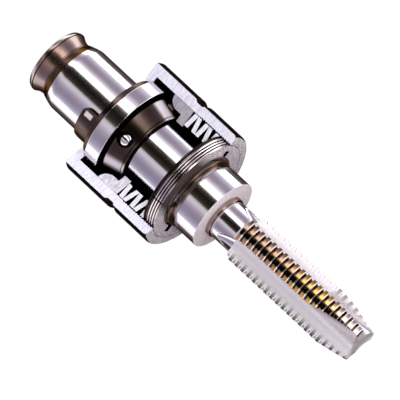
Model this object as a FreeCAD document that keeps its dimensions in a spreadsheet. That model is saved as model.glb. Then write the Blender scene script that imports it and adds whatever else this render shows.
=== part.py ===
import FreeCAD, Part
import math
import os
import types

import Sketcher

# Quick-change tapping collet with an overload clutch, shown cut away, with its tap in place.
# The axis is X. x = 0 is the front end of the ground shank land, +X runs to the tap's tip and
# +Z looks out of the middle of the cut-away. Angles about the axis run from +Y towards +Z.

# Driving sizes, in millimetres and degrees.
SIZES = [
    ("shank_radius", 9.5, "ground shank held by the quick-change chuck"),
    ("shank_tail", 13.3, "shank behind the drive lug"),
    ("tail_round", 3.2, "length of the rounded rear end of the shank"),
    ("tail_taper", 0.9, "shank's rear edge below its ground land"),
    ("tail_bulge", 6.08, "radius of the rounded rear end's profile"),
    ("relief_depth", 0.2, "undercut of the shank under lug and collar"),
    ("lug_length", 4.9, "drive lug along the axis"),
    ("lug_height", 1.3, "drive lug above the shank"),
    ("lug_angle", 136, "middle of the drive lug"),
    ("lug_spread", 58, "width of the drive lug round the axis"),
    ("lug_corner", 1.6, "rounded rear corners of the drive lug"),
    ("collar_width", 2.0, "drive collar along the axis"),
    ("collar_radius", 12.3, "outer radius of the drive collar"),
    ("flange_width", 4.5, "bright flange of the shank"),
    ("flange_gap", 1.1, "clearance between the flange and the housing's bore"),
    ("edge_break", 0.3, "small chamfer on turned edges"),
    ("press_gap", 0.02, "gap drawn between pieces that are pressed or screwed together"),
    ("running_gap", 0.05, "radial clearance of pieces that turn or slide in each other"),
    ("face_gap", 0.1, "axial clearance between faces that turn past each other"),
    ("spigot_step", 0.9, "spigot of the cage below the drum's rear rim"),
    ("spigot_depth", 2.8, "depth of the spigot in the flange"),
    ("neck_width", 0.6, "black groove between flange and drum"),
    ("drum_length", 5.5, "drum of the ball cage"),
    ("drum_wall", 1.2, "drum's front rim above the hub"),
    ("drum_taper", 1.6, "drum's rear rim above its front rim"),
    ("rim_width", 0.55, "rim bead at the front of the drum"),
    ("rim_groove", 0.2, "depth and width of the line beside a rim"),
    ("grub_radius", 1.0, "grub screws that hold the cage's spigot"),
    ("grub_length", 2.2, "length of the grub screws"),
    ("grub_socket", 0.5, "radius of the grub screws' driving socket"),
    ("grub_angle", 180, "first grub screw"),
    ("grub_step", 90, "angle from the first grub screw to the second"),
    ("grub_count", 2, "grub screws"),
    ("hub_radius", 9.4, "bright hub of the spindle"),
    ("ball_radius", 1.75, "clutch balls"),
    ("ball_count", 4, "clutch balls round the cage"),
    ("ball_angle", 104, "place of the ball that shows"),
    ("ball_setback", 2.2, "ball centres in front of the drum's rear rim"),
    ("dimple_depth", 0.35, "depth of the ball seats in the hub"),
    ("dimple_count", 12, "ball seats round the hub"),
    ("cone_angle", 30, "slope of the pressure ring's cone to the axis"),
    ("nose_reach", 0.8, "pressure ring's rear edge behind the ball centres"),
    ("cone_start", 0.1, "start of the cone in front of the ball centres"),
    ("tongue_gap", 1.45, "pressure ring's tongue above the drum's front rim"),
    ("nose_bulge", 2.9, "radius of the pressure ring's rounded nose"),
    ("web_gap", 0.4, "gap between the drum and the pressure ring's web"),
    ("web_width", 2.3, "web of the pressure ring"),
    ("web_clearance", 0.5, "bore of the pressure ring's web above the hub"),
    ("spring_count", 5, "disc springs in the stack"),
    ("spring_pitch", 1.9, "room for each disc spring"),
    ("spring_thickness", 1.05, "sheet thickness of the disc springs"),
    ("spring_clearance", 1.2, "inner edge of the disc springs above the hub"),
    ("spring_gap", 0.2, "clearance between the disc springs and the housing's bore"),
    ("washer_width", 0.5, "thrust washer"),
    ("setting_width", 3.2, "adjusting ring along the axis"),
    ("thread_gap", 0.1, "gap drawn where the adjusting ring screws into the housing"),
    ("recess_height", 1.8, "recess in the adjusting ring's front above the hub"),
    ("recess_depth", 0.9, "depth of that recess"),
    ("notch_angle", 15, "first spanner notch"),
    ("notch_count", 2, "spanner notches"),
    ("notch_width", 2.0, "width of the spanner notches"),
    ("notch_depth", 1.3, "depth of the spanner notches"),
    ("snap_width", 0.9, "retaining ring along the axis"),
    ("snap_height", 1.2, "retaining ring above the hub"),
    ("snap_groove", 0.5, "depth of the retaining ring's groove"),
    ("snap_opening", 24, "gap of the retaining ring"),
    ("snap_angle", 122, "place of the retaining ring's gap"),
    ("nose_collar", 1.4, "narrow collar behind the nose"),
    ("nose_length", 7.0, "nose at the front"),
    ("nose_height", 0.75, "nose above the hub"),
    ("nose_bore", 6.0, "bore at the nose's front face"),
    ("nose_lip", 0.9, "lip of the nose in front of the spindle's end"),
    ("spigot_front", 7.6, "front spigot of the spindle in the nose"),
    ("land_radius", 7.2, "front land of the spindle's stem"),
    ("stem_radius", 6.7, "stem of the spindle inside the coil spring"),
    ("stem_rear", 4.1, "stem behind the shank's rear end"),
    ("land_rear", 4.2, "start of the front land behind x = 0"),
    ("air_bore", 3.2, "bore behind the tap's square"),
    ("tap_length", 95, "whole length of the tap"),
    ("tap_insert", 2.9, "tap's rear end behind x = 0"),
    ("tap_shank", 5.6, "radius of the tap's shank"),
    ("square_width", 9.0, "square of the tap across its flats"),
    ("square_length", 12, "length of the tap's square"),
    ("square_chamfer", 0.6, "chamfer at the tap's rear end"),
    ("thread_radius", 7.05, "outer radius of the tap's thread"),
    ("thread_length", 40.5, "threaded length of the tap"),
    ("thread_step", 0.9, "cone from the tap's shank to its thread"),
    ("lead_length", 8.3, "tapered lead of the thread"),
    ("lead_radius", 5.4, "radius at the tap's tip"),
    ("flute_count", 3, "flutes of the tap"),
    ("flute_offset", 6.35, "flute cutter's centre from the axis"),
    ("flute_radius", 3.65, "radius of the flutes"),
    ("flute_runout", 10.0, "length in which each flute runs out"),
    ("flute_behind", 6.1, "start of the flutes behind the thread"),
    ("land_angle", 80, "middle of the tap's land that faces the viewer"),
    ("point_length", 15.0, "length of the spiral point"),
    ("point_beyond", 3.0, "way of the spiral point's cutter past the tip"),
    ("point_skew", 11.0, "slope of the spiral point to the axis"),
    ("point_cutter", 3.6, "radius of the spiral point's cutter"),
    ("head_length", 4.3, "release ring along the axis"),
    ("head_gap", 0.6, "neck between the release ring and the shank"),
    ("head_radius", 9.25, "widest radius of the release ring"),
    ("head_taper", 0.35, "release ring's rear rim below its widest radius"),
    ("head_band", 2.1, "length of the release ring's rim band"),
    ("head_hollow", 4.3, "radius of the hollow round the release ring"),
    ("sleeve_radius", 8.3, "outer radius of the release sleeve"),
    ("sleeve_step", 0.2, "step of the sleeve under the release ring"),
    ("sleeve_front_gap", 0.3, "sleeve's front end behind the hub"),
    ("chamber_radius", 7.6, "spring chamber in the release sleeve"),
    ("chamber_front", 4.0, "front wall of the spring chamber behind x = 0"),
    ("lock_ball_radius", 1.0, "balls that grip the tap's shank"),
    ("lock_ball_behind", 1.6, "lock balls behind the hub's shoulder"),
    ("lock_ball_count", 2, "lock balls"),
    ("lock_slope", 7.6, "slope of the sleeve's cone to the axis"),
    ("lock_reach", 3.0, "start of the sleeve's cone behind the lock balls"),
    ("wire_side", 0.45, "square wire of the release spring"),
    ("wire_turns", 5, "turns of the release spring"),
    ("clip_width", 0.6, "spring clip along the axis"),
    ("clip_behind", 2.5, "spring clip's rear face behind the shank"),
    ("clip_groove", 0.4, "depth of the spring clip's groove"),
    ("housing_start", 4.5, "rear face of the housing"),
    ("housing_radius", 17.85, "outer radius of the housing"),
    ("housing_wall", 2.85, "wall of the housing"),
    ("lip_gap", 0.1, "clearance between the housing's lip and the collar"),
    ("band_start", 12.9, "start of the dark groove round the housing"),
    ("band_width", 3.1, "width of the dark groove"),
    ("band_depth", 0.6, "depth of the dark groove"),
    ("front_step", 0.15, "housing's front part under its rear part"),
    ("front_round", 1.4, "rounded front edge of the housing"),
    ("window_angle", 142, "opening of the cut-away round the axis"),
]
HEXAGON = 6
SQUARE_SIDES = 4


class Size:
    """A length or angle, kept as a number and as the sheet formula that gives it."""

    def __init__(self, value, formula):
        self.value = value
        self.formula = formula

    def join(self, other, sign, value):
        return Size(value, f"({self.formula} {sign} {as_size(other).formula})")

    def __add__(self, other):
        return self.join(other, "+", self.value + as_size(other).value)

    def __sub__(self, other):
        return self.join(other, "-", self.value - as_size(other).value)

    def __mul__(self, other):
        return self.join(other, "*", self.value * as_size(other).value)

    def __truediv__(self, other):
        return self.join(other, "/", self.value / as_size(other).value)

    def __radd__(self, other):
        return as_size(other) + self

    def __rsub__(self, other):
        return as_size(other) - self

    def __rmul__(self, other):
        return as_size(other) * self

    def __rtruediv__(self, other):
        return as_size(other) / self

    def __neg__(self):
        return Size(-self.value, f"(-{self.formula})")


def as_size(number):
    return number if isinstance(number, Size) else Size(float(number), f"({number})")


def sine(angle):
    return Size(math.sin(math.radians(angle.value)), f"sin({angle.formula} * 1 deg)")


def cosine(angle):
    return Size(math.cos(math.radians(angle.value)), f"cos({angle.formula} * 1 deg)")


def tangent(angle):
    return Size(math.tan(math.radians(angle.value)), f"tan({angle.formula} * 1 deg)")


def make_sheet(doc):
    """Write the driving sizes into the sheet and return them as named sizes."""
    sheet = doc.addObject("Spreadsheet::Sheet", "sizes")
    named = {}
    for row, (alias, number, meaning) in enumerate(SIZES, start=1):
        sheet.set(f"A{row}", alias)
        sheet.set(f"B{row}", str(number))
        sheet.setAlias(f"B{row}", alias)
        sheet.set(f"C{row}", meaning)
        named[alias] = Size(float(number), f"sizes.{alias}")
    doc.recompute()
    return types.SimpleNamespace(**named)


def bind(thing, path, size):
    thing.setExpression(path, as_size(size).formula)


def turned_placement(thing, turn):
    """Turn a piece about the axis by an angle that stays bound to the sheet."""
    angle = as_size(turn)
    axis = FreeCAD.Vector(1, 0, 0)
    thing.Placement = FreeCAD.Placement(FreeCAD.Vector(0, 0, 0), FreeCAD.Rotation(axis, angle.value))
    bind(thing, "Placement.Rotation.Angle", angle)


def new_body(doc, label, turn=0):
    body = doc.addObject("PartDesign::Body", label)
    if as_size(turn).value:
        turned_placement(body, turn)
    return body


def origin_feature(body, role):
    return [feature for feature in body.Origin.OriginFeatures if feature.Role == role][0]


def new_sketch(body, name, role="XY_Plane", offset=None):
    sketch = body.newObject("Sketcher::SketchObject", name)
    sketch.AttachmentSupport = [(origin_feature(body, role), "")]
    sketch.MapMode = "FlatFace"
    if offset is not None:
        sketch.AttachmentOffset = offset
    return sketch


def cross_sketch(body, name, x, turn=0):
    """Sketch across the axis at x, whose own axes are turned about it."""
    turn = as_size(turn)
    rotation = FreeCAD.Rotation(FreeCAD.Vector(0, 0, 1), turn.value)
    sketch = new_sketch(body, name, "YZ_Plane", FreeCAD.Placement(FreeCAD.Vector(0, 0, 0), rotation))
    bind(sketch, "AttachmentOffset.Base.z", x)
    if turn.value:
        bind(sketch, "AttachmentOffset.Rotation.Angle", turn)
    return sketch


def arc_between(start, end, radius):
    """Arc with its point numbers. A positive radius bulges to the left of the way from start to end."""
    chord = end - start
    left = FreeCAD.Vector(-chord.y, chord.x, 0).normalize()
    reach = math.sqrt(max(0, radius * radius - chord.Length * chord.Length / 4))
    centre = (start + end) / 2 - left * math.copysign(reach, radius)
    circle = Part.Circle(centre, FreeCAD.Vector(0, 0, 1), abs(radius))
    first, last = (end, start) if radius > 0 else (start, end)
    angles = [math.atan2(point.y - centre.y, point.x - centre.x) for point in (first, last)]
    return Part.ArcOfCircle(circle, *angles), (2, 1) if radius > 0 else (1, 2)


def hold(sketch, kind, geometry, point, size):
    """Fix one coordinate of a sketch point from the sketch's origin."""
    size = as_size(size)
    if size.value == 0:
        line = -2 if kind == "DistanceX" else -1
        sketch.addConstraint(Sketcher.Constraint("PointOnObject", geometry, point, line))
        return
    index = sketch.addConstraint(Sketcher.Constraint(kind, -1, 1, geometry, point, size.value))
    bind(sketch, f"Constraints[{index}]", size)


def draw_profile(sketch, corners):
    """Closed outline. Each corner is (x, r), or (x, r, radius) where an arc leads on to the next one."""
    count = len(corners)
    places = [FreeCAD.Vector(as_size(c[0]).value, as_size(c[1]).value, 0) for c in corners]
    ends = []
    for index, corner in enumerate(corners):
        start = places[index]
        end = places[(index + 1) % count]
        if len(corner) == 2:
            sketch.addGeometry(Part.LineSegment(start, end), False)
            ends.append((1, 2))
            continue
        arc, points = arc_between(start, end, as_size(corner[2]).value)
        sketch.addGeometry(arc, False)
        ends.append(points)
    for index in range(count):
        following = (index + 1) % count
        sketch.addConstraint(
            Sketcher.Constraint("Coincident", index, ends[index][1], following, ends[following][0])
        )
    for index, corner in enumerate(corners):
        hold(sketch, "DistanceX", index, ends[index][0], corner[0])
        hold(sketch, "DistanceY", index, ends[index][0], corner[1])
        if len(corner) == 3:
            radius = as_size(corner[2])
            radius = radius if radius.value > 0 else -radius
            number = sketch.addConstraint(Sketcher.Constraint("Radius", index, radius.value))
            bind(sketch, f"Constraints[{number}]", radius)
    return ends


def revolve(body, name, corners, sweep=360, kind="PartDesign::Revolution", midplane=False):
    sketch = new_sketch(body, name + "_profile")
    draw_profile(sketch, corners)
    feature = body.newObject(kind, name)
    feature.Profile = sketch
    feature.ReferenceAxis = (sketch, ["H_Axis"])
    feature.Midplane = midplane
    bind(feature, "Angle", sweep)
    body.Tip = feature
    return feature


def turned_piece(doc, label, corners, turn=0, sweep=360):
    """A piece that is turned from one profile, whole or with a sector left out."""
    body = new_body(doc, label, turn)
    revolve(body, label + "_turned", corners, sweep)
    return body


def draw_circle(sketch, x, y, radius):
    x, y, radius = as_size(x), as_size(y), as_size(radius)
    centre = FreeCAD.Vector(x.value, y.value, 0)
    sketch.addGeometry(Part.Circle(centre, FreeCAD.Vector(0, 0, 1), radius.value), False)
    hold(sketch, "DistanceX", 0, 3, x)
    hold(sketch, "DistanceY", 0, 3, y)
    number = sketch.addConstraint(Sketcher.Constraint("Radius", 0, radius.value))
    bind(sketch, f"Constraints[{number}]", radius)


def pocket(body, name, sketch, depth, reverse=True):
    feature = body.newObject("PartDesign::Pocket", name)
    feature.Profile = sketch
    feature.Reversed = reverse
    bind(feature, "Length", depth)
    body.Tip = feature
    return feature


def repeat_round(body, name, features, count, angle=360):
    """Polar pattern about the body's X axis."""
    pattern = body.newObject("PartDesign::PolarPattern", name)
    pattern.Originals = features
    pattern.Axis = (origin_feature(body, "X_Axis"), [""])
    bind(pattern, "Angle", angle)
    bind(pattern, "Occurrences", count)
    body.Tip = pattern
    return pattern


def offset_groove(body, name, corners, x, y, turn=0, lift=0, tilt=0):
    """Cut a turned shape whose own axis leaves (x, y) of a sketch plane at a tilt.

    The plane holds the body's axis, is turned about it and is then lifted along its own normal.
    """
    turn, lift, tilt = as_size(turn), as_size(lift), as_size(tilt)
    rotation = FreeCAD.Rotation(FreeCAD.Vector(1, 0, 0), turn.value)
    base = FreeCAD.Vector(0, 0, 0)
    sketch = new_sketch(body, name + "_profile", offset=FreeCAD.Placement(base, rotation))
    if turn.value:
        bind(sketch, "AttachmentOffset.Rotation.Angle", turn)
        bind(sketch, "AttachmentOffset.Base.y", -lift * sine(turn))
        bind(sketch, "AttachmentOffset.Base.z", lift * cosine(turn))
    placed = []
    for along, out, *rest in corners:
        place_x = x + along * cosine(tilt) - out * sine(tilt)
        place_y = y + along * sine(tilt) + out * cosine(tilt)
        placed.append((place_x, place_y, *rest))
    ends = draw_profile(sketch, placed)
    axis = len(corners)
    start, end = (FreeCAD.Vector(c[0].value, c[1].value, 0) for c in (placed[0], placed[-1]))
    sketch.addGeometry(Part.LineSegment(start, end), True)
    sketch.addConstraint(Sketcher.Constraint("Coincident", axis, 1, 0, ends[0][0]))
    sketch.addConstraint(Sketcher.Constraint("Coincident", axis, 2, axis - 1, ends[-1][0]))
    groove = body.newObject("PartDesign::Groove", name)
    groove.Profile = sketch
    groove.ReferenceAxis = (sketch, ["Axis0"])
    groove.Angle = 360
    body.Tip = groove
    return groove


def derive_places(s):
    """Places along the axis and radii that follow from the driving sizes."""
    s.housing_bore = s.housing_radius - s.housing_wall
    s.flange_radius = s.housing_bore - s.flange_gap
    s.spring_outer = s.housing_bore - s.spring_gap
    s.setting_thread = s.housing_bore - s.thread_gap
    s.drum_front_radius = s.hub_radius + s.drum_wall
    s.drum_rear_radius = s.drum_front_radius + s.drum_taper
    s.spigot_radius = s.drum_rear_radius - s.spigot_step
    s.tongue_radius = s.drum_front_radius + s.tongue_gap
    s.web_radius = s.hub_radius + s.web_clearance
    s.spring_inner = s.hub_radius + s.spring_clearance
    s.recess_radius = s.hub_radius + s.recess_height
    s.snap_radius = s.hub_radius + s.snap_height
    s.nose_radius = s.hub_radius + s.nose_height
    s.tail_radius = s.shank_radius - s.tail_taper
    s.lug_radius = s.shank_radius + s.lug_height
    s.head_rim = s.head_radius - s.head_taper
    s.shank_rear = -s.shank_tail
    s.relief_radius = s.shank_radius - s.relief_depth
    s.flange_rear = s.lug_length + s.collar_width
    s.flange_front = s.flange_rear + s.flange_width
    s.spigot_rear = s.flange_front - s.spigot_depth
    s.drum_rear = s.flange_front + s.neck_width
    s.drum_front = s.drum_rear + s.drum_length
    s.hub_rear = s.drum_rear + s.face_gap
    s.ball_x = s.drum_rear + s.ball_setback
    s.ball_centre = s.hub_radius - s.dimple_depth + s.ball_radius
    s.ball_hole = s.ball_radius + s.running_gap
    s.sleeve_bore = s.sleeve_radius + s.running_gap
    s.web_rear = s.drum_front + s.web_gap
    s.web_front = s.web_rear + s.web_width
    s.stack_front = s.web_front + s.spring_pitch * s.spring_count
    s.setting_rear = s.stack_front + s.washer_width + s.face_gap
    s.setting_front = s.setting_rear + s.setting_width
    s.hub_bore = s.hub_radius + s.running_gap
    s.snap_rear = s.setting_front + s.face_gap
    s.snap_front = s.snap_rear + s.snap_width
    s.nose_front = s.snap_front + s.nose_collar + s.nose_length
    s.spindle_rear = s.shank_rear - s.stem_rear
    s.tap_bore = s.tap_shank + s.running_gap
    s.tap_rear = -s.tap_insert
    s.tap_front = s.tap_rear + s.tap_length
    s.square_front = s.tap_rear + s.square_length
    s.thread_rear = s.tap_front - s.thread_length
    s.lock_ball_x = s.hub_rear - s.lock_ball_behind
    s.lock_ball_centre = s.tap_shank + s.press_gap + s.lock_ball_radius
    s.head_front = s.shank_rear - s.head_gap
    s.head_rear = s.head_front - s.head_length
    s.clip_rear = s.shank_rear - s.clip_behind
    s.clip_front = s.clip_rear + s.clip_width
    s.window_turn = 90 + s.window_angle / 2
    s.solid_angle = 360 - s.window_angle


def drive_shank(doc, s):
    """Ground shank and bright flange in one piece, bored for the release sleeve."""
    edge = s.edge_break
    body = turned_piece(doc, "drive_shank", [
        (s.shank_rear, s.sleeve_bore),
        (s.shank_rear, s.tail_radius, s.tail_bulge),
        (s.shank_rear + s.tail_round, s.shank_radius),
        (0, s.shank_radius),
        (0, s.relief_radius),
        (s.flange_rear, s.relief_radius),
        (s.flange_rear, s.flange_radius - edge),
        (s.flange_rear + edge, s.flange_radius),
        (s.flange_front - edge, s.flange_radius),
        (s.flange_front, s.flange_radius - edge),
        (s.flange_front, s.spigot_radius),
        (s.spigot_rear, s.spigot_radius),
        (s.spigot_rear, s.sleeve_bore),
    ])
    holes = new_sketch(body, "grub_hole_outline", "XZ_Plane")
    draw_circle(holes, (s.flange_rear + s.flange_front) / 2, 0, s.grub_radius + s.press_gap)
    hole = pocket(body, "grub_hole", holes, s.flange_radius + s.edge_break)
    repeat_round(body, "grub_holes", [hole], s.grub_count, s.grub_step)
    return body


def cage_lock_screws(doc, s):
    """Two grub screws through the flange's rim onto the cage's spigot."""
    x = (s.flange_rear + s.flange_front) / 2
    screws = []
    for number in range(int(s.grub_count.value)):
        angle = s.grub_angle + s.grub_step * number
        blank = doc.addObject("Part::Cylinder", f"grub_blank_{number}")
        bind(blank, "Radius", s.grub_radius)
        bind(blank, "Height", s.grub_length)
        socket = doc.addObject("Part::Prism", f"grub_socket_{number}")
        socket.Polygon = HEXAGON
        bind(socket, "Circumradius", s.grub_socket)
        bind(socket, "Height", s.grub_length)
        bind(socket, "Placement.Base.z", s.grub_length / 2)
        screw = doc.addObject("Part::Cut", f"grub_screw_{number}")
        screw.Base = blank
        screw.Tool = socket
        outward = FreeCAD.Vector(0, cosine(angle).value, sine(angle).value)
        turn = FreeCAD.Rotation(FreeCAD.Vector(0, 0, 1), outward)
        screw.Placement = FreeCAD.Placement(FreeCAD.Vector(0, 0, 0), turn)
        bind(screw, "Placement.Base.x", x)
        bind(screw, "Placement.Base.y", s.spigot_radius * cosine(angle))
        bind(screw, "Placement.Base.z", s.spigot_radius * sine(angle))
        screws.append(screw)
    group = doc.addObject("Part::Compound", "cage_lock_screws")
    group.Links = screws
    return group


def drive_collar(doc, s):
    """Dark ring on the shank with the drive lug that the chuck's slot turns."""
    seat = s.relief_radius + s.press_gap
    edge = s.edge_break
    body = turned_piece(doc, "drive_collar", [
        (s.lug_length, seat),
        (s.lug_length, s.collar_radius - edge),
        (s.lug_length + edge, s.collar_radius),
        (s.flange_rear, s.collar_radius),
        (s.flange_rear, seat),
    ], turn=s.lug_angle)
    lug = revolve(body, "drive_lug", [
        (0, seat),
        (0, s.lug_radius),
        (s.lug_length, s.lug_radius),
        (s.lug_length, seat),
    ], sweep=s.lug_spread, midplane=True)
    doc.recompute()
    corners = []
    for index, edge_shape in enumerate(lug.Shape.Edges, start=1):
        box = edge_shape.BoundBox
        straight = edge_shape.Curve.TypeId == "Part::GeomLine"
        if straight and box.XMax < s.edge_break.value:
            corners.append(f"Edge{index}")
    rounding = body.newObject("PartDesign::Fillet", "lug_corners")
    rounding.Base = (lug, corners)
    bind(rounding, "Radius", s.lug_corner)
    body.Tip = rounding
    return body


def ball_cage(doc, s):
    """Drum with the ball holes, seated with a spigot in the flange."""
    slope = (s.drum_rear_radius - s.drum_front_radius) / s.drum_length
    line = s.rim_groove

    def drum_radius(x):
        return s.drum_rear_radius - (x - s.drum_rear) * slope

    spigot = s.spigot_radius - s.press_gap
    front_line = s.drum_front - s.rim_width - line
    body = turned_piece(doc, "ball_cage", [
        (s.spigot_rear, s.sleeve_bore),
        (s.spigot_rear, spigot),
        (s.drum_rear, spigot),
        (s.drum_rear, s.drum_rear_radius - s.edge_break),
        (s.drum_rear + s.edge_break, drum_radius(s.drum_rear + s.edge_break)),
        (front_line, drum_radius(front_line)),
        (front_line, drum_radius(front_line + line) - line),
        (front_line + line, drum_radius(front_line + line) - line),
        (front_line + line, drum_radius(front_line + line)),
        (s.drum_front, s.drum_front_radius),
        (s.drum_front, s.hub_bore),
        (s.drum_rear, s.hub_bore),
        (s.drum_rear, s.sleeve_bore),
    ], turn=s.ball_angle - 90)
    outline = new_sketch(body, "ball_hole_outline")
    draw_circle(outline, s.ball_x, 0, s.ball_hole)
    hole = pocket(body, "ball_hole", outline, s.flange_radius)
    repeat_round(body, "ball_holes", [hole], s.ball_count)
    return body


def spindle(doc, s):
    """Inner sleeve that holds the tap: stem, land, hub with ball seats and front spigot."""
    clip_floor = s.stem_radius - s.clip_groove
    snap_floor = s.hub_radius - s.snap_groove
    spigot_front = s.nose_front - s.nose_lip - s.press_gap
    body = turned_piece(doc, "spindle", [
        (s.spindle_rear, s.air_bore),
        (s.spindle_rear, s.stem_radius - s.edge_break),
        (s.spindle_rear + s.edge_break, s.stem_radius),
        (s.clip_rear, s.stem_radius),
        (s.clip_rear, clip_floor),
        (s.clip_front, clip_floor),
        (s.clip_front, s.stem_radius),
        (-s.land_rear, s.stem_radius),
        (-s.land_rear, s.land_radius),
        (s.hub_rear, s.land_radius),
        (s.hub_rear, s.hub_radius),
        (s.snap_rear, s.hub_radius),
        (s.snap_rear, snap_floor),
        (s.snap_front, snap_floor),
        (s.snap_front, s.spigot_front),
        (spigot_front, s.spigot_front),
        (spigot_front, s.tap_bore),
        (s.square_front, s.tap_bore),
        (s.square_front, s.air_bore),
    ], turn=s.ball_angle - 90)
    seat = s.ball_radius + s.running_gap
    bowl = [(-seat, 0, seat), (0, seat, seat), (seat, 0)]
    dimple = offset_groove(body, "ball_seat", bowl, s.ball_x, s.ball_centre)
    repeat_round(body, "ball_seats", [dimple], s.dimple_count)
    outline = new_sketch(body, "lock_ball_outline")
    draw_circle(outline, s.lock_ball_x, 0, s.lock_ball_radius + s.running_gap)
    hole = pocket(body, "lock_ball_hole", outline, s.hub_radius)
    repeat_round(body, "lock_ball_holes", [hole], s.lock_ball_count)
    broach = cross_sketch(body, "square_outline", s.square_front, s.land_angle - s.ball_angle + 90)
    half = s.square_width / 2 + s.running_gap
    draw_profile(broach, [(-half, -half), (half, -half), (half, half), (-half, half)])
    pocket(body, "square_socket", broach, s.square_length + s.face_gap, reverse=False)
    return body


def nose_sleeve(doc, s):
    """Collar and nose, pressed on the spindle's front spigot."""
    seat = s.spigot_front + s.press_gap
    step = s.snap_front + s.nose_collar
    lip = s.nose_front - s.nose_lip
    edge = s.edge_break
    return turned_piece(doc, "nose_sleeve", [
        (s.snap_front + s.press_gap, seat),
        (s.snap_front + s.press_gap, s.hub_radius),
        (step, s.hub_radius),
        (step, s.nose_radius - edge),
        (step + edge, s.nose_radius),
        (s.nose_front, s.nose_radius),
        (s.nose_front, s.nose_bore + edge),
        (s.nose_front - edge, s.nose_bore),
        (lip, s.nose_bore),
        (lip, seat),
    ])


def retaining_ring(doc, s):
    """Open snap ring in the hub's groove."""
    start = s.snap_angle + s.snap_opening / 2
    floor = s.hub_radius - s.snap_groove + s.press_gap
    rear = s.snap_rear + s.press_gap
    front = s.snap_front - s.press_gap
    corners = [(rear, floor), (rear, s.snap_radius), (front, s.snap_radius), (front, floor)]
    return turned_piece(doc, "retaining_ring", corners, start, 360 - s.snap_opening)


def spring_clip(doc, s):
    """Stop ring on the stem, behind the coil spring."""
    floor = s.stem_radius - s.clip_groove + s.press_gap
    rear = s.clip_rear + s.press_gap
    front = s.clip_front - s.press_gap
    rim = s.chamber_radius - s.running_gap
    return turned_piece(doc, "spring_clip", [(rear, floor), (rear, rim), (front, rim), (front, floor)])


def tap(doc, s):
    """Three-flute tap: square, round shank, thread envelope with its lead, flutes, spiral point."""
    lead_rear = s.tap_front - s.lead_length
    shoulder = s.thread_rear - s.thread_step
    body = turned_piece(doc, "tap", [
        (s.tap_rear, 0),
        (s.tap_rear, s.tap_shank - s.square_chamfer),
        (s.tap_rear + s.square_chamfer, s.tap_shank),
        (shoulder, s.tap_shank),
        (s.thread_rear, s.thread_radius),
        (lead_rear, s.thread_radius),
        (s.tap_front, s.lead_radius),
        (s.tap_front, 0),
    ], turn=s.land_angle)
    half = s.square_width / 2
    flat = new_sketch(body, "square_flat", "XZ_Plane", offset=FreeCAD.Placement())
    bind(flat, "AttachmentOffset.Base.z", half)
    wide = s.tap_shank * 2
    behind = s.tap_rear - s.square_chamfer
    draw_profile(flat, [(behind, -wide), (s.square_front, -wide), (s.square_front, wide), (behind, wide)])
    side = pocket(body, "square_side", flat, s.tap_shank)
    repeat_round(body, "square_sides", [side], SQUARE_SIDES)
    start = s.thread_rear - s.flute_behind
    sweep = (s.flute_runout * s.flute_runout + s.flute_radius * s.flute_radius) / (s.flute_radius * 2)
    beyond = s.tap_front - start + s.face_gap
    flute_turn = 180 / s.flute_count
    flute = offset_groove(body, "flute", [
        (0, 0, sweep),
        (s.flute_runout, s.flute_radius),
        (beyond, s.flute_radius),
        (beyond, 0),
    ], start, s.flute_offset, turn=flute_turn)
    repeat_round(body, "flutes", [flute], s.flute_count)
    point = offset_groove(body, "spiral_point", [
        (0, 0, s.point_cutter),
        (s.point_cutter, s.point_cutter),
        (s.point_length + s.point_beyond, s.point_cutter),
        (s.point_length + s.point_beyond, 0),
    ], s.tap_front - s.point_length, as_size(0), flute_turn + 90, -s.flute_offset, -s.point_skew)
    repeat_round(body, "spiral_points", [point], s.flute_count)
    return body


def release_ring(doc, s):
    """Head ring that is drawn back to free the tap."""
    seat = s.sleeve_radius - s.sleeve_step + s.press_gap
    band = s.head_rear + s.head_band
    return turned_piece(doc, "release_ring", [
        (s.head_rear, seat),
        (s.head_rear, s.head_rim),
        (band - s.edge_break, s.head_radius),
        (band, s.head_radius),
        (band, s.head_radius - s.rim_groove),
        (band + s.rim_groove, s.head_radius - s.rim_groove, -s.head_hollow),
        (s.head_front, s.sleeve_radius),
        (s.head_front, seat),
    ])


def release_sleeve(doc, s):
    """Sliding sleeve: spring chamber at the rear, cone over the lock balls at the front."""
    bore = s.land_radius + s.running_gap
    front = s.hub_rear - s.sleeve_front_gap
    cone_rear = s.lock_ball_x - s.lock_reach
    over_ball = s.lock_ball_centre + (s.lock_ball_radius + s.press_gap) / cosine(s.lock_slope)
    rise = tangent(s.lock_slope)
    cone_bore = over_ball - s.lock_reach * rise
    mouth = over_ball + (front - s.lock_ball_x) * rise
    rear = s.head_rear + s.edge_break
    return turned_piece(doc, "release_sleeve", [
        (rear, s.chamber_radius),
        (rear, s.sleeve_radius - s.sleeve_step),
        (s.head_front, s.sleeve_radius - s.sleeve_step),
        (s.head_front, s.sleeve_radius),
        (front, s.sleeve_radius),
        (front, mouth),
        (cone_rear, cone_bore),
        (cone_rear, bore),
        (-s.chamber_front, bore),
        (-s.chamber_front, s.chamber_radius),
    ])


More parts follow.
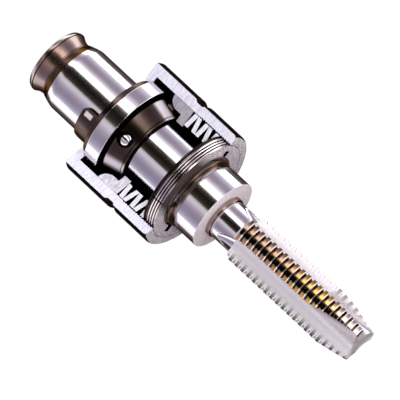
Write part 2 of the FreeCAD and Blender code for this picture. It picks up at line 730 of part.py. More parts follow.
def release_spring(doc, s):
    """Coil spring of square wire round the spindle's stem, from the spring clip to the sleeve's shoulder."""
    coil_radius = (s.stem_radius + s.chamber_radius) / 2
    reach = s.wire_side / 2 + s.press_gap
    rear = s.clip_front + reach
    length = -s.chamber_front - reach - rear
    path = doc.addObject("Part::Helix", "spring_path")
    bind(path, "Radius", coil_radius)
    bind(path, "Height", length)
    bind(path, "Pitch", length / s.wire_turns)
    path.Placement = FreeCAD.Placement(
        FreeCAD.Vector(0, 0, 0), FreeCAD.Rotation(FreeCAD.Vector(0, 1, 0), 90))
    bind(path, "Placement.Base.x", rear)
    wire = doc.addObject("Part::RegularPolygon", "spring_wire")
    wire.Polygon = SQUARE_SIDES
    bind(wire, "Circumradius", s.wire_side / math.sqrt(2))
    across = FreeCAD.Rotation(FreeCAD.Vector(1, 0, 0), 90)
    square = FreeCAD.Rotation(FreeCAD.Vector(0, 0, 1), 180 / SQUARE_SIDES)
    wire.Placement = FreeCAD.Placement(FreeCAD.Vector(0, 0, 0), across.multiply(square))
    bind(wire, "Placement.Base.x", rear)
    bind(wire, "Placement.Base.z", -coil_radius)
    coil = doc.addObject("Part::Sweep", "release_spring")
    coil.Sections = [wire]
    coil.Spine = (path, [])
    coil.Solid = True
    coil.Frenet = True
    return coil


def ball(doc, label, radius, x, centre, angle):
    """Steel ball whose centre lies at a radius and an angle about the axis."""
    sphere = doc.addObject("Part::Sphere", label)
    bind(sphere, "Radius", radius)
    bind(sphere, "Placement.Base.x", x)
    bind(sphere, "Placement.Base.y", centre * cosine(angle))
    bind(sphere, "Placement.Base.z", centre * sine(angle))
    return sphere


def lock_balls(doc, s):
    """Balls in the spindle's wall that the release sleeve holds down on the tap's shank."""
    for number in range(int(s.lock_ball_count.value)):
        angle = s.ball_angle + 360 * number / s.lock_ball_count
        ball(doc, f"lock_ball_{number + 1}", s.lock_ball_radius, s.lock_ball_x, s.lock_ball_centre, angle)


def clutch_balls(doc, s):
    """Balls in the cage that the pressure ring holds down in the hub's seats."""
    for number in range(int(s.ball_count.value)):
        angle = s.ball_angle + 360 * number / s.ball_count
        ball(doc, f"clutch_ball_{number + 1}", s.ball_radius, s.ball_x, s.ball_centre, angle)


def pressure_ring(doc, s):
    """Ring with the cone that drives the balls inwards, cut open like the housing."""
    touch = s.ball_radius + s.press_gap
    reach = touch - s.cone_start * sine(s.cone_angle)
    cone_rear = s.ball_centre + reach / cosine(s.cone_angle)
    cone_length = (cone_rear - s.tongue_radius) / tangent(s.cone_angle)
    rim = s.housing_bore - s.running_gap - s.press_gap
    start = s.ball_x + s.cone_start
    return turned_piece(doc, "pressure_ring", [
        (s.ball_x - s.nose_reach, rim),
        (s.web_front, rim),
        (s.web_front, s.web_radius),
        (s.web_rear, s.web_radius),
        (s.web_rear, s.tongue_radius),
        (start + cone_length, s.tongue_radius),
        (start, cone_rear, s.nose_bulge),
    ], s.window_turn, s.solid_angle)


def disc_springs(doc, s):
    """Disc springs in series: each one stands the other way round, cut open like the housing."""
    gap = s.press_gap
    for number in range(int(s.spring_count.value)):
        rear = s.web_front + s.spring_pitch * number + gap
        front = rear + s.spring_pitch - gap * 2
        inner = (rear, rear + s.spring_thickness)
        outer = (front - s.spring_thickness, front)
        if number % 2:
            inner, outer = outer, inner
        turned_piece(doc, f"disc_spring_{number + 1}", [
            (inner[0], s.spring_inner),
            (outer[0], s.spring_outer),
            (outer[1], s.spring_outer),
            (inner[1], s.spring_inner),
        ], s.window_turn, s.solid_angle)


def thrust_washer(doc, s):
    """Washer between the last disc spring and the adjusting ring."""
    rear = s.stack_front + s.press_gap
    front = rear + s.washer_width
    inner = s.hub_radius + s.face_gap
    return turned_piece(doc, "thrust_washer", [
        (rear, inner), (rear, s.spring_outer), (front, s.spring_outer), (front, inner),
    ])


def adjusting_ring(doc, s):
    """Ring in the housing's fine thread that loads the disc springs, with two spanner notches."""
    edge = s.edge_break
    floor = s.setting_front - s.recess_depth
    body = turned_piece(doc, "adjusting_ring", [
        (s.setting_rear, s.hub_radius + s.face_gap),
        (s.setting_rear, s.setting_thread - edge),
        (s.setting_rear + edge, s.setting_thread),
        (s.setting_front - edge, s.setting_thread),
        (s.setting_front, s.setting_thread - edge),
        (s.setting_front, s.recess_radius),
        (floor, s.recess_radius),
        (floor, s.hub_radius + s.face_gap),
    ], turn=s.notch_angle)
    outline = cross_sketch(body, "notch_outline", s.setting_front)
    half = s.notch_width / 2
    inner = s.recess_radius - s.edge_break
    outer = (s.recess_radius + s.setting_thread) / 2
    draw_profile(outline, [(inner, -half), (outer, -half), (outer, half), (inner, half)])
    notch = pocket(body, "notch", outline, s.notch_depth, reverse=False)
    repeat_round(body, "notches", [notch], s.notch_count)
    return body


def housing(doc, s):
    """Outer sleeve: lip behind the flange, groove round the outside, cut open over the clutch."""
    rear = s.housing_start
    front = s.setting_front
    band_rear = rear + s.band_start
    band_front = band_rear + s.band_width
    front_radius = s.housing_radius - s.front_step
    lip_front = s.flange_rear - s.face_gap
    edge = s.edge_break
    return turned_piece(doc, "housing", [
        (rear, s.collar_radius + s.lip_gap),
        (rear, s.housing_radius - edge),
        (rear + edge, s.housing_radius),
        (band_rear, s.housing_radius),
        (band_rear + s.band_depth, s.housing_radius - s.band_depth),
        (band_front - s.band_depth, s.housing_radius - s.band_depth),
        (band_front, front_radius),
        (front - s.front_round, front_radius, s.front_round),
        (front, front_radius - s.front_round),
        (front, s.housing_bore),
        (lip_front, s.housing_bore),
        (lip_front, s.collar_radius + s.lip_gap),
    ], s.window_turn, s.solid_angle)


def check_document(doc):
    """Stop if any object of the document failed."""
    for item in doc.Objects:
        if "Invalid" in item.State or "Error" in item.State:
            raise RuntimeError(f"{item.Name} failed: {item.State}")


def export_parts(doc):
    """Write each finished piece to its own file."""
    os.makedirs("parts", exist_ok=True)
    names = ("PartDesign::Body", "Part::Sphere", "Part::Sweep", "Part::Compound")
    pieces = [item for item in doc.Objects if item.TypeId in names]
    for piece in pieces:
        shape = piece.Shape
        if shape.isNull() or not shape.isValid() or shape.Volume <= 0:
            raise RuntimeError(f"{piece.Label} has no valid solid")
        shape.exportStep(f"parts/{piece.Label}.step")
    print(len(pieces), "pieces written")


def main():
    doc = FreeCAD.newDocument("tapping_collet")
    s = make_sheet(doc)
    derive_places(s)
    makers = [
        drive_shank, cage_lock_screws, drive_collar, ball_cage, clutch_balls, spindle, nose_sleeve,
        retaining_ring, spring_clip, tap, release_ring, release_sleeve, release_spring, lock_balls,
        pressure_ring, disc_springs, thrust_washer, adjusting_ring, housing,
    ]
    for maker in makers:
        maker(doc, s)
    doc.recompute()
    check_document(doc)
    export_parts(doc)


main()
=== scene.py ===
import math

import bmesh
import bpy
from mathutils import Matrix, Vector


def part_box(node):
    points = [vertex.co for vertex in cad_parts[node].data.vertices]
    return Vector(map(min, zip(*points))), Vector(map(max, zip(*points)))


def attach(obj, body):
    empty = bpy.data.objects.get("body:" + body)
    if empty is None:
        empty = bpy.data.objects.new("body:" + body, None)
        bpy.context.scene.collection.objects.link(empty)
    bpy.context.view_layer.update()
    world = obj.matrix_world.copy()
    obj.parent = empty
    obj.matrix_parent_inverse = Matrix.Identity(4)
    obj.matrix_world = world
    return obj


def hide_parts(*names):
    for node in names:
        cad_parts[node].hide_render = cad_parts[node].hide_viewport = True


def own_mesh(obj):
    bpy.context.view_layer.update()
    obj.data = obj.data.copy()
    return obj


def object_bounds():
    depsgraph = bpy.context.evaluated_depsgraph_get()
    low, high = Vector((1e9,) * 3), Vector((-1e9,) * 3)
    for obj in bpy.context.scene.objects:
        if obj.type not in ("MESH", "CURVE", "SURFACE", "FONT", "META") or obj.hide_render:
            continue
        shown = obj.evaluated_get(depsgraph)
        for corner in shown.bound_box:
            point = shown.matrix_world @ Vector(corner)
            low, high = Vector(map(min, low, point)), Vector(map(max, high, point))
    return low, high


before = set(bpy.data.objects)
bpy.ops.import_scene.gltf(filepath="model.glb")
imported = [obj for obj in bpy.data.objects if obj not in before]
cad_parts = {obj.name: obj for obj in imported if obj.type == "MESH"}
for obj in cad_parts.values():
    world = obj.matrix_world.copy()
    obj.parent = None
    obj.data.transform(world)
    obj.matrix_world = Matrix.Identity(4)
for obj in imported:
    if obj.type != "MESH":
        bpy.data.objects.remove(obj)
cad_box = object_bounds()

# Stand, studio and camera. The collet lies on its housing on a white bench, with the window up.
# A long strip light and a pale ceiling with dark gaps give ground steel its hard bands along the axis.
# The camera looks from the tap's side down on the window, through a very long lens.
MM = 0.001


class Wire:
    """One output socket in a node tree; sums and products on it add the nodes that work them out."""

    def __init__(self, tree, socket):
        self.tree = tree
        self.socket = socket

    def __getitem__(self, name):
        """Another output of the same node, by its name or number."""
        return Wire(self.tree, self.socket.node.outputs[name])

    def join(self, operation, *others):
        return self.tree.node("ShaderNodeMath", self, *others, operation=operation)

    def __add__(self, other):
        return self.join("ADD", other)

    def __sub__(self, other):
        return self.join("SUBTRACT", other)

    def __mul__(self, other):
        return self.join("MULTIPLY", other)

    def __truediv__(self, other):
        return self.join("DIVIDE", other)

    def __pow__(self, other):
        return self.join("POWER", other)

    def __rsub__(self, other):
        return self.tree.node("ShaderNodeMath", other, self, operation="SUBTRACT")

    def __rtruediv__(self, other):
        return self.tree.node("ShaderNodeMath", other, self, operation="DIVIDE")

    def __rpow__(self, other):
        return self.tree.node("ShaderNodeMath", other, self, operation="POWER")

    __radd__ = __add__
    __rmul__ = __mul__


class Place:
    """A surface point in the object's own coordinates, and its distance from the axis."""

    def __init__(self, tree):
        self.vector = tree.node("ShaderNodeTexCoord", out=3)
        parts = tree.node("ShaderNodeSeparateXYZ", self.vector)
        self.x, self.y, self.z = parts[0], parts[1], parts[2]
        self.reach = (self.y * self.y + self.z * self.z) ** 0.5


class Tree:
    """A node tree that is built from plain calls: for a finish, the studio or a repeated shape."""

    def __init__(self, owner):
        if hasattr(owner, "use_nodes"):
            owner.use_nodes = True
            owner = owner.node_tree
        self.nodes = owner.nodes
        self.links = owner.links
        self.nodes.clear()

    def node(self, kind, *values, out=0, named=None, stops=None, **settings):
        """Add a node, with its settings first; values go to its sockets in order or by their names."""
        node = self.nodes.new(kind)
        for key, value in settings.items():
            setattr(node, key, value)
        if stops:
            ramp = node.color_ramp.elements
            while len(ramp) < len(stops):
                ramp.new(0.5)
            for element, (place, colour) in zip(ramp, stops):
                element.position = place
                element.color = (*colour, 1.0) if isinstance(colour, tuple) else (colour,) * 3 + (1.0,)
        sockets = list(zip(node.inputs, values)) + [(node.inputs[key], v) for key, v in (named or {}).items()]
        for socket, value in sockets:
            if isinstance(value, Wire):
                self.links.new(value.socket, socket)
            elif value is not None:
                socket.default_value = value
        return Wire(self, node.outputs[out]) if len(node.outputs) else None

    def ramp(self, factor, *stops):
        return self.node("ShaderNodeValToRGB", factor, stops=stops)

    def blend(self, factor, low, high):
        """Colour between two colours."""
        low, high = (colour if isinstance(colour, Wire) else (*colour, 1.0) for colour in (low, high))
        return self.node("ShaderNodeMix", named={0: factor, 6: low, 7: high}, data_type="RGBA", out=2)

    def noise(self, vector, scale, detail, roughness=0.5):
        return self.node("ShaderNodeTexNoise", named={
            "Vector": vector, "Scale": scale, "Detail": detail, "Roughness": roughness})

    def lines(self, along, detail, roughness=0.5):
        """Uneven lines across a length that is counted in line pitches."""
        return self.node("ShaderNodeTexNoise", noise_dimensions="1D", named={
            "W": along, "Scale": 1.0, "Detail": detail, "Roughness": roughness})

    def attribute(self, name):
        return self.node("ShaderNodeAttribute", attribute_name=name, out=2)

    def bump(self, strength, depth, height):
        """Relief whose depth is in millimetres."""
        return self.node("ShaderNodeBump", named={
            "Strength": strength, "Distance": depth * MM, "Height": height})

    def coat(self, sockets):
        """End a finish with its shader."""
        self.node("ShaderNodeOutputMaterial", self.node("ShaderNodeBsdfPrincipled", named=sockets))


# Angles in degrees from straight up towards +Y, with the ceiling's brightness there.
CEILING = (
    (-180, (1.0, 0.99, 1.0)), (-95, (1.0, 0.99, 1.0)), (-86, (0.62, 0.58, 0.72)), (-78, (0.4, 0.37, 0.48)),
    (-66, (0.3, 0.265, 0.36)), (-54, (0.3, 0.265, 0.34)), (-42, (0.43, 0.36, 0.44)),
    (-28, (0.68, 0.66, 0.74)), (-21, (0.6, 0.55, 0.55)), (-17, (0.06, 0.04, 0.03)),
    (-8, (0.02, 0.017, 0.012)), (4, (0.004, 0.005, 0.004)),
    (14, (0.04, 0.03, 0.022)), (19.5, (0.1, 0.07, 0.055)), (23, (2.2, 2.2, 2.2)), (36, (2.2, 2.2, 2.2)),
    (42, (1.0, 0.96, 1.04)), (48, (0.66, 0.6, 0.68)), (56, (0.36, 0.3, 0.37)), (68, (0.33, 0.28, 0.36)),
    (76, (0.45, 0.41, 0.5)), (86, (0.72, 0.7, 0.8)), (94, (1.0, 1.0, 1.0)), (180, (1.0, 1.0, 1.0)),
)
BRIGHTEST = 2.5
SEEN_WHITE = 0.96
world = bpy.data.worlds.new("studio")
bpy.context.scene.world = world
studio = Tree(world)
way = studio.node("ShaderNodeSeparateXYZ", studio.node("ShaderNodeTexCoord"))
turn_of_view = way[1].join("ARCTAN2", way[2]) / (2 * math.pi) + 0.5
ceiling = studio.ramp(turn_of_view, *(
    (angle / 360 + 0.5, tuple(channel / BRIGHTEST for channel in colour)) for angle, colour in CEILING))
looked_at = studio.node("ShaderNodeLightPath")
backdrop = studio.blend(looked_at, ceiling, (SEEN_WHITE / BRIGHTEST,) * 3)
studio.node("ShaderNodeOutputWorld", studio.node("ShaderNodeBackground", backdrop, BRIGHTEST))
world.cycles.sampling_method = "MANUAL"
world.cycles.sample_map_resolution = 1024

# The bench's brightness at places across it, in metres, for all but the camera: a painted dark strip under
# the collet stands for its shade in reflections.
SHADE_STRIP = ((-0.046, (0.52, 0.51, 0.52)), (-0.038, (0.03, 0.02, 0.017)), (0.045, (0.03, 0.02, 0.017)),
        (0.052, (1.0, 1.0, 1.0)))
SHADE_STRIP_SPAN = 0.4
BENCH_GLOW = 2.4
HALF_BENCH = 6.0
bench_mesh = bpy.data.meshes.new("bench")
corner_ways = ((-1, -1), (1, -1), (1, 1), (-1, 1))
bench_corners = [(x * HALF_BENCH, y * HALF_BENCH, cad_box[0][2]) for x, y in corner_ways]
bench_mesh.from_pydata(bench_corners, [], [(0, 1, 2, 3)])
bench = bpy.data.objects.new("bench", bench_mesh)
bpy.context.scene.collection.objects.link(bench)
bench_paint = bpy.data.materials.new("white_bench")
paint = Tree(bench_paint)
across_bench = Place(paint).y / SHADE_STRIP_SPAN + 0.5
# Painted shade: the bench glows dark along a strip under the collet for every ray but the camera's.
reflected_shade_strip = paint.ramp(across_bench, *((0.5 + place / SHADE_STRIP_SPAN, colour) for place, colour in SHADE_STRIP))
shown = paint.blend(paint.node("ShaderNodeLightPath"), reflected_shade_strip, (SEEN_WHITE / BENCH_GLOW,) * 3)
paint.coat({"Base Color": paint.blend(paint.noise(None, 30.0, 2.0), (0.07, 0.07, 0.07), (0.09, 0.09, 0.09)),
            "Roughness": 0.9, "Emission Strength": BENCH_GLOW, "Emission Color": shown})
bench_mesh.materials.append(bench_paint)

VIEW_TILT = math.radians(19.6)
AXIS_SLOPE = math.radians(43.0)
FRAME_WIDTH = 0.1
LENS = 1000.0
SENSOR = 36.0
TARGET = Vector((0.03571, -0.00103, 0.0))
to_camera = Vector((math.sin(VIEW_TILT), 0.0, math.cos(VIEW_TILT)))
axis_in_view = Vector((math.cos(VIEW_TILT), 0.0, -math.sin(VIEW_TILT)))
across_view = Vector((0.0, 1.0, 0.0))
right = axis_in_view * math.cos(AXIS_SLOPE) + across_view * math.sin(AXIS_SLOPE)
up = across_view * math.cos(AXIS_SLOPE) - axis_in_view * math.sin(AXIS_SLOPE)
lens = bpy.data.cameras.new("camera")
lens.lens = LENS
lens.sensor_width = SENSOR
lens.clip_end = 20.0
camera = bpy.data.objects.new("camera", lens)
bpy.context.scene.collection.objects.link(camera)
distance = FRAME_WIDTH * LENS / SENSOR
camera.matrix_world = (Matrix.Translation(TARGET + to_camera * distance)
                       @ Matrix((right, up, to_camera)).transposed().to_4x4())
bpy.context.scene.camera = camera
fill = bpy.data.lights.new("soft_fill", "SUN")
fill.energy = 2.2
fill.angle = math.radians(30)
fill_lamp = bpy.data.objects.new("soft_fill", fill)
fill_lamp.matrix_world = camera.matrix_world
fill_lamp.visible_glossy = False
bpy.context.scene.collection.objects.link(fill_lamp)
bpy.context.scene.view_settings.view_transform = "Standard"

# Drive shank: the ground cylinder that the chuck holds, and the bright flange, turned from one bar.
# Hardened alloy steel, ground bright, with fine turning lines left on the shoulders.
EDGE = 0.15
AROUND = 176


def soften(outline, edge):
    """Round the corners of an outline of (x, r) points; a third value is that corner's own radius."""
    count = len(outline)
    area = sum(outline[i][0] * outline[(i + 1) % count][1] - outline[(i + 1) % count][0] * outline[i][1]
               for i in range(count))
    corners = list(outline) if area > 0 else list(reversed(outline))
    softened = []
    for index, corner in enumerate(corners):
        here = Vector(corner[:2])
        before = Vector(corners[index - 1][:2]) - here
        after = Vector(corners[(index + 1) % count][:2]) - here
        wanted = corner[2] if len(corner) > 2 else edge
        angle = before.angle(after) if before.length and after.length else math.pi
        if wanted <= 0 or angle > math.radians(172):
            softened.append(tuple(here))
            continue
        reach = min(wanted / math.tan(angle / 2), before.length * 0.45, after.length * 0.45)
        radius = reach * math.tan(angle / 2)
        inwards = (before.normalized() + after.normalized()).normalized()
        middle = here + inwards * (radius / math.sin(angle / 2))
        first = here + before.normalized() * reach - middle
        last = here + after.normalized() * reach - middle
        steps = max(3, round(math.degrees(math.pi - angle) / 18))
        swing = first.angle_signed(last)
        for step in range(steps + 1):
            turned = swing * step / steps
            cosine, sine = math.cos(turned), math.sin(turned)
            softened.append((middle.x + first.x * cosine + first.y * sine,
                             middle.y - first.x * sine + first.y * cosine))
    return softened


def solid(name, points, faces, finishes, choice=None):
    """Make an object from points in millimetres, shaded smooth between its sharp edges."""
    mesh = bpy.data.meshes.new(name)
    mesh.from_pydata([Vector(point) * MM for point in points], [], faces)
    for finish in finishes:
        mesh.materials.append(finish)
    if choice:
        mesh.polygons.foreach_set("material_index", choice)
    mesh.validate()
    piece = bpy.data.objects.new(name, mesh)
    bpy.context.scene.collection.objects.link(piece)
    return smooth(piece)


def smooth(piece, limit=28):
    mesh = piece.data
    mesh.shade_smooth()
    mesh.set_sharp_from_angle(angle=math.radians(limit))
    return piece


def turn_up(name, outline, finishes, edge=EDGE, choose=None, shape=None,
            start=0.0, sweep=360.0, around=AROUND):
    """Turn a closed outline of (x, r) about the axis; less than a full turn leaves two cut faces.

    choose(x, r) gives the finish of a stretch by its middle, and shape(x, r, turn) moves a point.
    """
    ring = soften(outline, edge)
    whole = sweep >= 360
    stations = [start + sweep * step / around for step in range(around if whole else around + 1)]
    points, places = [], []
    for x, r in ring:
        if r < 1e-6:
            places.append([len(points)] * len(stations))
            points.append((x, 0.0, 0.0))
            continue
        places.append(list(range(len(points), len(points) + len(stations))))
        for degrees in stations:
            px, pr = shape(x, r, degrees) if shape else (x, r)
            angle = math.radians(degrees)
            points.append((px, pr * math.cos(angle), pr * math.sin(angle)))
    faces, choice = [], []
    for index in range(len(ring)):
        here, there = places[index], places[(index + 1) % len(ring)]
        if here[0] == here[-1] and there[0] == there[-1]:
            continue
        middle = [(a + b) / 2 for a, b in zip(ring[index], ring[(index + 1) % len(ring)])]
        finish = choose(*middle) if choose else 0
        for step in range(len(stations) if whole else len(stations) - 1):
            following = (step + 1) % len(stations)
            face = [here[step], there[step], there[following], here[following]]
            face = [place for place, earlier in zip(face, face[-1:] + face[:-1]) if place != earlier]
            faces.append(face)
            choice.append(finish)
    if not whole:
        cut = len(finishes) - 1
        faces.append([place[0] for place in reversed(places)])
        faces.append([place[-1] for place in places])
        choice += [cut, cut]
    return solid(name, points, faces, finishes, choice)


def steel(name, colour, roughness, edge_tint, lines=0.35, line_pitch=0.4, blotch=0.06, tone=None):
    """Turned or ground steel: fine lines round the axis in gloss and relief, and a faint uneven tone.

    tone(tree, base, at) gives the colour and the metal share at a place.
    """
    finish = bpy.data.materials.new(name)
    tree = Tree(finish)
    at = Place(tree)
    marks = tree.lines((at.x + at.reach * 0.73) / (line_pitch * MM), 4.0, 0.7)
    cloud = tree.noise(at.vector, 260.0, 3.0)
    base = tree.blend(cloud, tuple(channel * (1 - blotch * 3) for channel in colour), colour)
    base, metal = tone(tree, base, at) if tone else (base, 1.0)
    tree.coat({"Base Color": base, "Metallic": metal, "Specular Tint": (*edge_tint, 1.0),
               "Roughness": (marks - 0.5) * 0.12 + (cloud - 0.5) * 0.08 + roughness,
               "Normal": tree.bump(lines, 0.004, marks)})
    return finish


BROWN_EDGE = (0.1, 0.055, 0.04)
ground = steel("ground_steel", (0.93, 0.91, 0.94), 0.115, BROWN_EDGE)
# Painted shade: near-black steel for holes, grooves, bores and faces that lie in shade between parts.
black_recess = steel("black_recess", (0.02, 0.016, 0.013), 0.42, (0.02, 0.015, 0.01))
tail_brown = steel("oiled_tail", (0.13, 0.075, 0.045), 0.26, (0.1, 0.06, 0.04))
SHANK_RADIUS = 9.5
TAIL_RADIUS = 8.6
TAIL_ROUND = 1.1
TAIL_BROWN_LENGTH = 1.9
TAIL_LENGTH = 3.2
SLEEVE_BORE = 8.35
FLANGE_RADIUS = 13.9
SPIGOT_RADIUS = 11.3
SPIGOT_DEPTH = 2.8
RELIEF_RADIUS = 9.3
LUG_LENGTH = 4.9


def span(node):
    """Rear and front end of a CAD node along the axis, in millimetres."""
    low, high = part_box(node)
    return low.x / MM, high.x / MM


shank_rear, flange_front = span("drive_shank")
lug_rear, flange_rear = span("drive_collar")


class Growth:
    """A geometry tree with named inputs, and the object that it grows on."""

    def __init__(self, name, **kinds):
        self.name = name
        self.group = bpy.data.node_groups.new(name, "GeometryNodeTree")
        face = self.group.interface
        self.sockets = {}
        for label, kind in kinds.items():
            socket = face.new_socket(label, in_out="INPUT", socket_type=f"NodeSocket{kind}")
            self.sockets[label] = socket.identifier
        face.new_socket("Geometry", in_out="OUTPUT", socket_type="NodeSocketGeometry")
        self.tree = Tree(self.group)
        self.given = self.tree.node("NodeGroupInput")

    def grow(self, name, shape, finishes, **values):
        """End the tree, one finish input for each material index, and make its result a mesh."""
        shape = self.tree.node("GeometryNodeRealizeInstances", shape)
        for number, label in enumerate(finishes):
            chosen = None
            if len(finishes) > 1:
                index = self.tree.node("GeometryNodeInputMaterialIndex")
                chosen = self.tree.node("FunctionNodeCompare", named={2: index, 3: number},
                                        data_type="INT", operation="EQUAL")
            shape = self.tree.node("GeometryNodeSetMaterial", shape, chosen, self.given[label])
        self.tree.node("NodeGroupOutput", shape)
        piece = bpy.data.objects.new(name, bpy.data.meshes.new(name))
        bpy.context.scene.collection.objects.link(piece)
        modifier = piece.modifiers.new(self.name, "NODES")
        modifier.node_group = self.group
        for label, value in values.items():
            modifier[self.sockets[label]] = value
        return smooth(made_plain(piece))


def copies_round(pattern, count, sweep, turn):
    """Repeat a pattern round the axis and make one mesh of the copies."""
    growth = Growth("copies_round", Pattern="Object", Count="Int", Step="Float", Turn="Float",
                    Finish="Material")
    tree, given = growth.tree, growth.given
    spots = tree.node("GeometryNodeMeshLine", given["Count"], mode="OFFSET", named={
        "Offset": (0.0, 0.0, 0.0)})
    angle = tree.node("GeometryNodeInputIndex") * given["Step"] + given["Turn"]
    copies = tree.node("GeometryNodeInstanceOnPoints", spots, named={
        "Instance": tree.node("GeometryNodeObjectInfo", given["Pattern"], out="Geometry"),
        "Rotation": tree.node("ShaderNodeCombineXYZ", angle)})
    return growth.grow(f"{pattern.name}_ring", copies, ["Finish"], Pattern=pattern, Count=count,
                       Step=math.radians(sweep / count), Turn=math.radians(turn),
                       Finish=pattern.data.materials[0])


def drilled(piece, cutter, count, sweep=360.0, turn=0.0):
    """Cut a piece with a cutter that is repeated round the axis; the cut keeps the cutter's finish.

    Both are a thousand times larger for the cut, because the solver is steadier there.
    """
    cutters = copies_round(cutter, count, sweep, turn)
    for shape in (piece, cutters):
        shape.data.transform(Matrix.Scale(1 / MM, 4))
    cut = piece.modifiers.new("holes", "BOOLEAN")
    cut.operation = "DIFFERENCE"
    cut.solver = "EXACT"
    cut.material_mode = "TRANSFER"
    cut.object = cutters
    smooth(made_plain(piece))
    for helper in (cutter, cutters):
        bpy.data.objects.remove(helper)
    piece.data.transform(Matrix.Scale(MM, 4))
    return piece


def made_plain(piece):
    """Turn what the modifiers give into the piece's own mesh."""
    bpy.context.view_layer.update()
    shown = piece.evaluated_get(bpy.context.evaluated_depsgraph_get())
    mesh = bpy.data.meshes.new_from_object(shown)
    piece.modifiers.clear()
    piece.data = mesh
    mesh.name = piece.name
    return piece


def closed_rings(count, facets):
    """Faces between rings of points that follow one another, with both ends closed."""
    faces = [tuple(range(facets)), tuple(range((count - 1) * facets, count * facets))]
    for start in range(0, (count - 1) * facets, facets):
        for step in range(facets):
            following = (step + 1) % facets
            faces.append((start + step, start + facets + step, start + facets + following, start + following))
    return faces


def cutter_plug(name, profile, x, finish, facets=40):
    """Round cutter whose axis leaves the collet's axis at x and runs along +Y; profile is (reach, radius)."""
    points = []
    for reach, radius in profile:
        for step in range(facets):
            angle = 2 * math.pi * step / facets
            points.append((x + radius * math.cos(angle), reach, radius * math.sin(angle)))
    return fix_normals(solid(name, points, closed_rings(len(profile), facets), [finish]))


def fix_normals(piece):
    work = bmesh.new()
    work.from_mesh(piece.data)
    bmesh.ops.recalc_face_normals(work, faces=work.faces)
    work.to_mesh(piece.data)
    work.free()
    return piece


def finished(piece, body, slot, *nodes):
    """Weigh the normals by face area, then hang the piece on its body in place of its CAD nodes."""
    even = piece.modifiers.new("even_normals", "WEIGHTED_NORMAL")
    even.keep_sharp = True
    made_plain(piece)
    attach(piece, body)
    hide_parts(*nodes)
    return piece


GRUB_HOLE = 1.02
spigot_floor = flange_front - SPIGOT_DEPTH
# The flange's front face inside its rim and the spigot recess are painted black as shade.
shank = turn_up("ground_shank", [
    (shank_rear, SLEEVE_BORE, 0.04), (shank_rear, TAIL_RADIUS, 0.1),
    (shank_rear + TAIL_ROUND, TAIL_RADIUS + 0.35, 2.4),
    (shank_rear + TAIL_BROWN_LENGTH, TAIL_RADIUS + 0.6, 0),
    (shank_rear + TAIL_LENGTH, SHANK_RADIUS, 4.0), (LUG_LENGTH, SHANK_RADIUS, 0),
    (LUG_LENGTH, RELIEF_RADIUS, 0), (flange_rear, RELIEF_RADIUS, 0), (flange_rear, FLANGE_RADIUS, 0.3),
    (flange_front, FLANGE_RADIUS, 0.3), (flange_front, SPIGOT_RADIUS), (spigot_floor, SPIGOT_RADIUS, 0),
    (spigot_floor, SLEEVE_BORE)], [ground, black_recess, tail_brown],
    choose=lambda x, r: 1 if x > flange_front - 0.05 and r < FLANGE_RADIUS - 0.4 else
    2 if x < shank_rear + TAIL_BROWN_LENGTH else 0)
grub_x = (flange_rear + flange_front) / 2
grub_hole = [(SPIGOT_RADIUS - 0.5, GRUB_HOLE), (FLANGE_RADIUS + 1, GRUB_HOLE)]
# The grub holes take the cutter's black, painted shade.
grub_cutter = cutter_plug("grub_cutter", grub_hole, grub_x, black_recess)
drilled(shank, grub_cutter, 2, 180.0, 180.0)
finished(shank, "drive_body", "ground_steel", "drive_shank")

# Drive collar and lug: a blackened steel ring pinned on the shank; the lug turns in the chuck's slot.
# Case-hardened and oiled, so it is brown-black with a soft sheen; a pale highlight is painted on one patch of
# the lug.
COLLAR_RADIUS = 12.3
LUG_RADIUS = 10.8
LUG_ANGLE = 136.0
LUG_SPREAD = 58.0
LUG_CORNER = 1.6
LUG_OVERLAP = 0.02
PRESS_GAP = 0.02
EDGE_SHADE = (0.4, 0.3, 0.3)
DARK_BROWN = (0.12, 0.088, 0.075)


def oiled(tree, base, at):
    """Brown sheen in soft patches."""
    patch = tree.noise(at.vector, 170.0, 4.0)
    sheen = tree.ramp(patch, (0.35, (0.08, 0.05, 0.035)), (0.65, (0.17, 0.125, 0.11)))
    return tree.blend(0.6, base, sheen), 1.0


brown_black = steel("brown_black_steel", DARK_BROWN, 0.2, EDGE_SHADE, tone=oiled)
collar_seat = RELIEF_RADIUS + PRESS_GAP
collar = turn_up("drive_collar_ring", [
    (LUG_LENGTH, collar_seat, 0), (LUG_LENGTH, COLLAR_RADIUS, 0.3), (flange_rear, COLLAR_RADIUS, 0.05),
    (flange_rear, collar_seat, 0)], [brown_black])
finished(collar, "drive_body", "dark_steel", "drive_collar")


def lug_rear_edge(x, r, degrees):
    """Pull the lug's rear corners forward in a quarter round."""
    half = math.radians(LUG_SPREAD / 2) * LUG_RADIUS
    side = half - abs(math.radians(degrees - LUG_ANGLE)) * LUG_RADIUS
    if side >= LUG_CORNER:
        return x, r
    rear = LUG_CORNER - math.sqrt(max(0.0, LUG_CORNER ** 2 - (LUG_CORNER - side) ** 2))
    return rear + (x - lug_rear) * (LUG_LENGTH - rear) / (LUG_LENGTH - lug_rear), r


def lug_painted_highlight(tree, base, at):
    """Oiled steel with a pale highlight painted on one patch of the lug's outer side, where it is less
    metallic.
    """
    oily, metal = oiled(tree, base, at)
    # Painted highlight: a pale patch on one side of the lug, less metallic there.
    patch = tree.ramp(at.y / at.reach + 1, (0.5, 0.0), (0.52, 1.0), (0.62, 1.0), (0.64, 0.0))
    patch = patch * tree.ramp(at.x / (LUG_LENGTH * MM), (0.18, 0.0), (0.24, 1.0), (0.66, 1.0), (0.74, 0.0))
    return tree.blend(patch * 0.9, oily, (0.8, 0.72, 0.7)), 1 - patch * 0.8


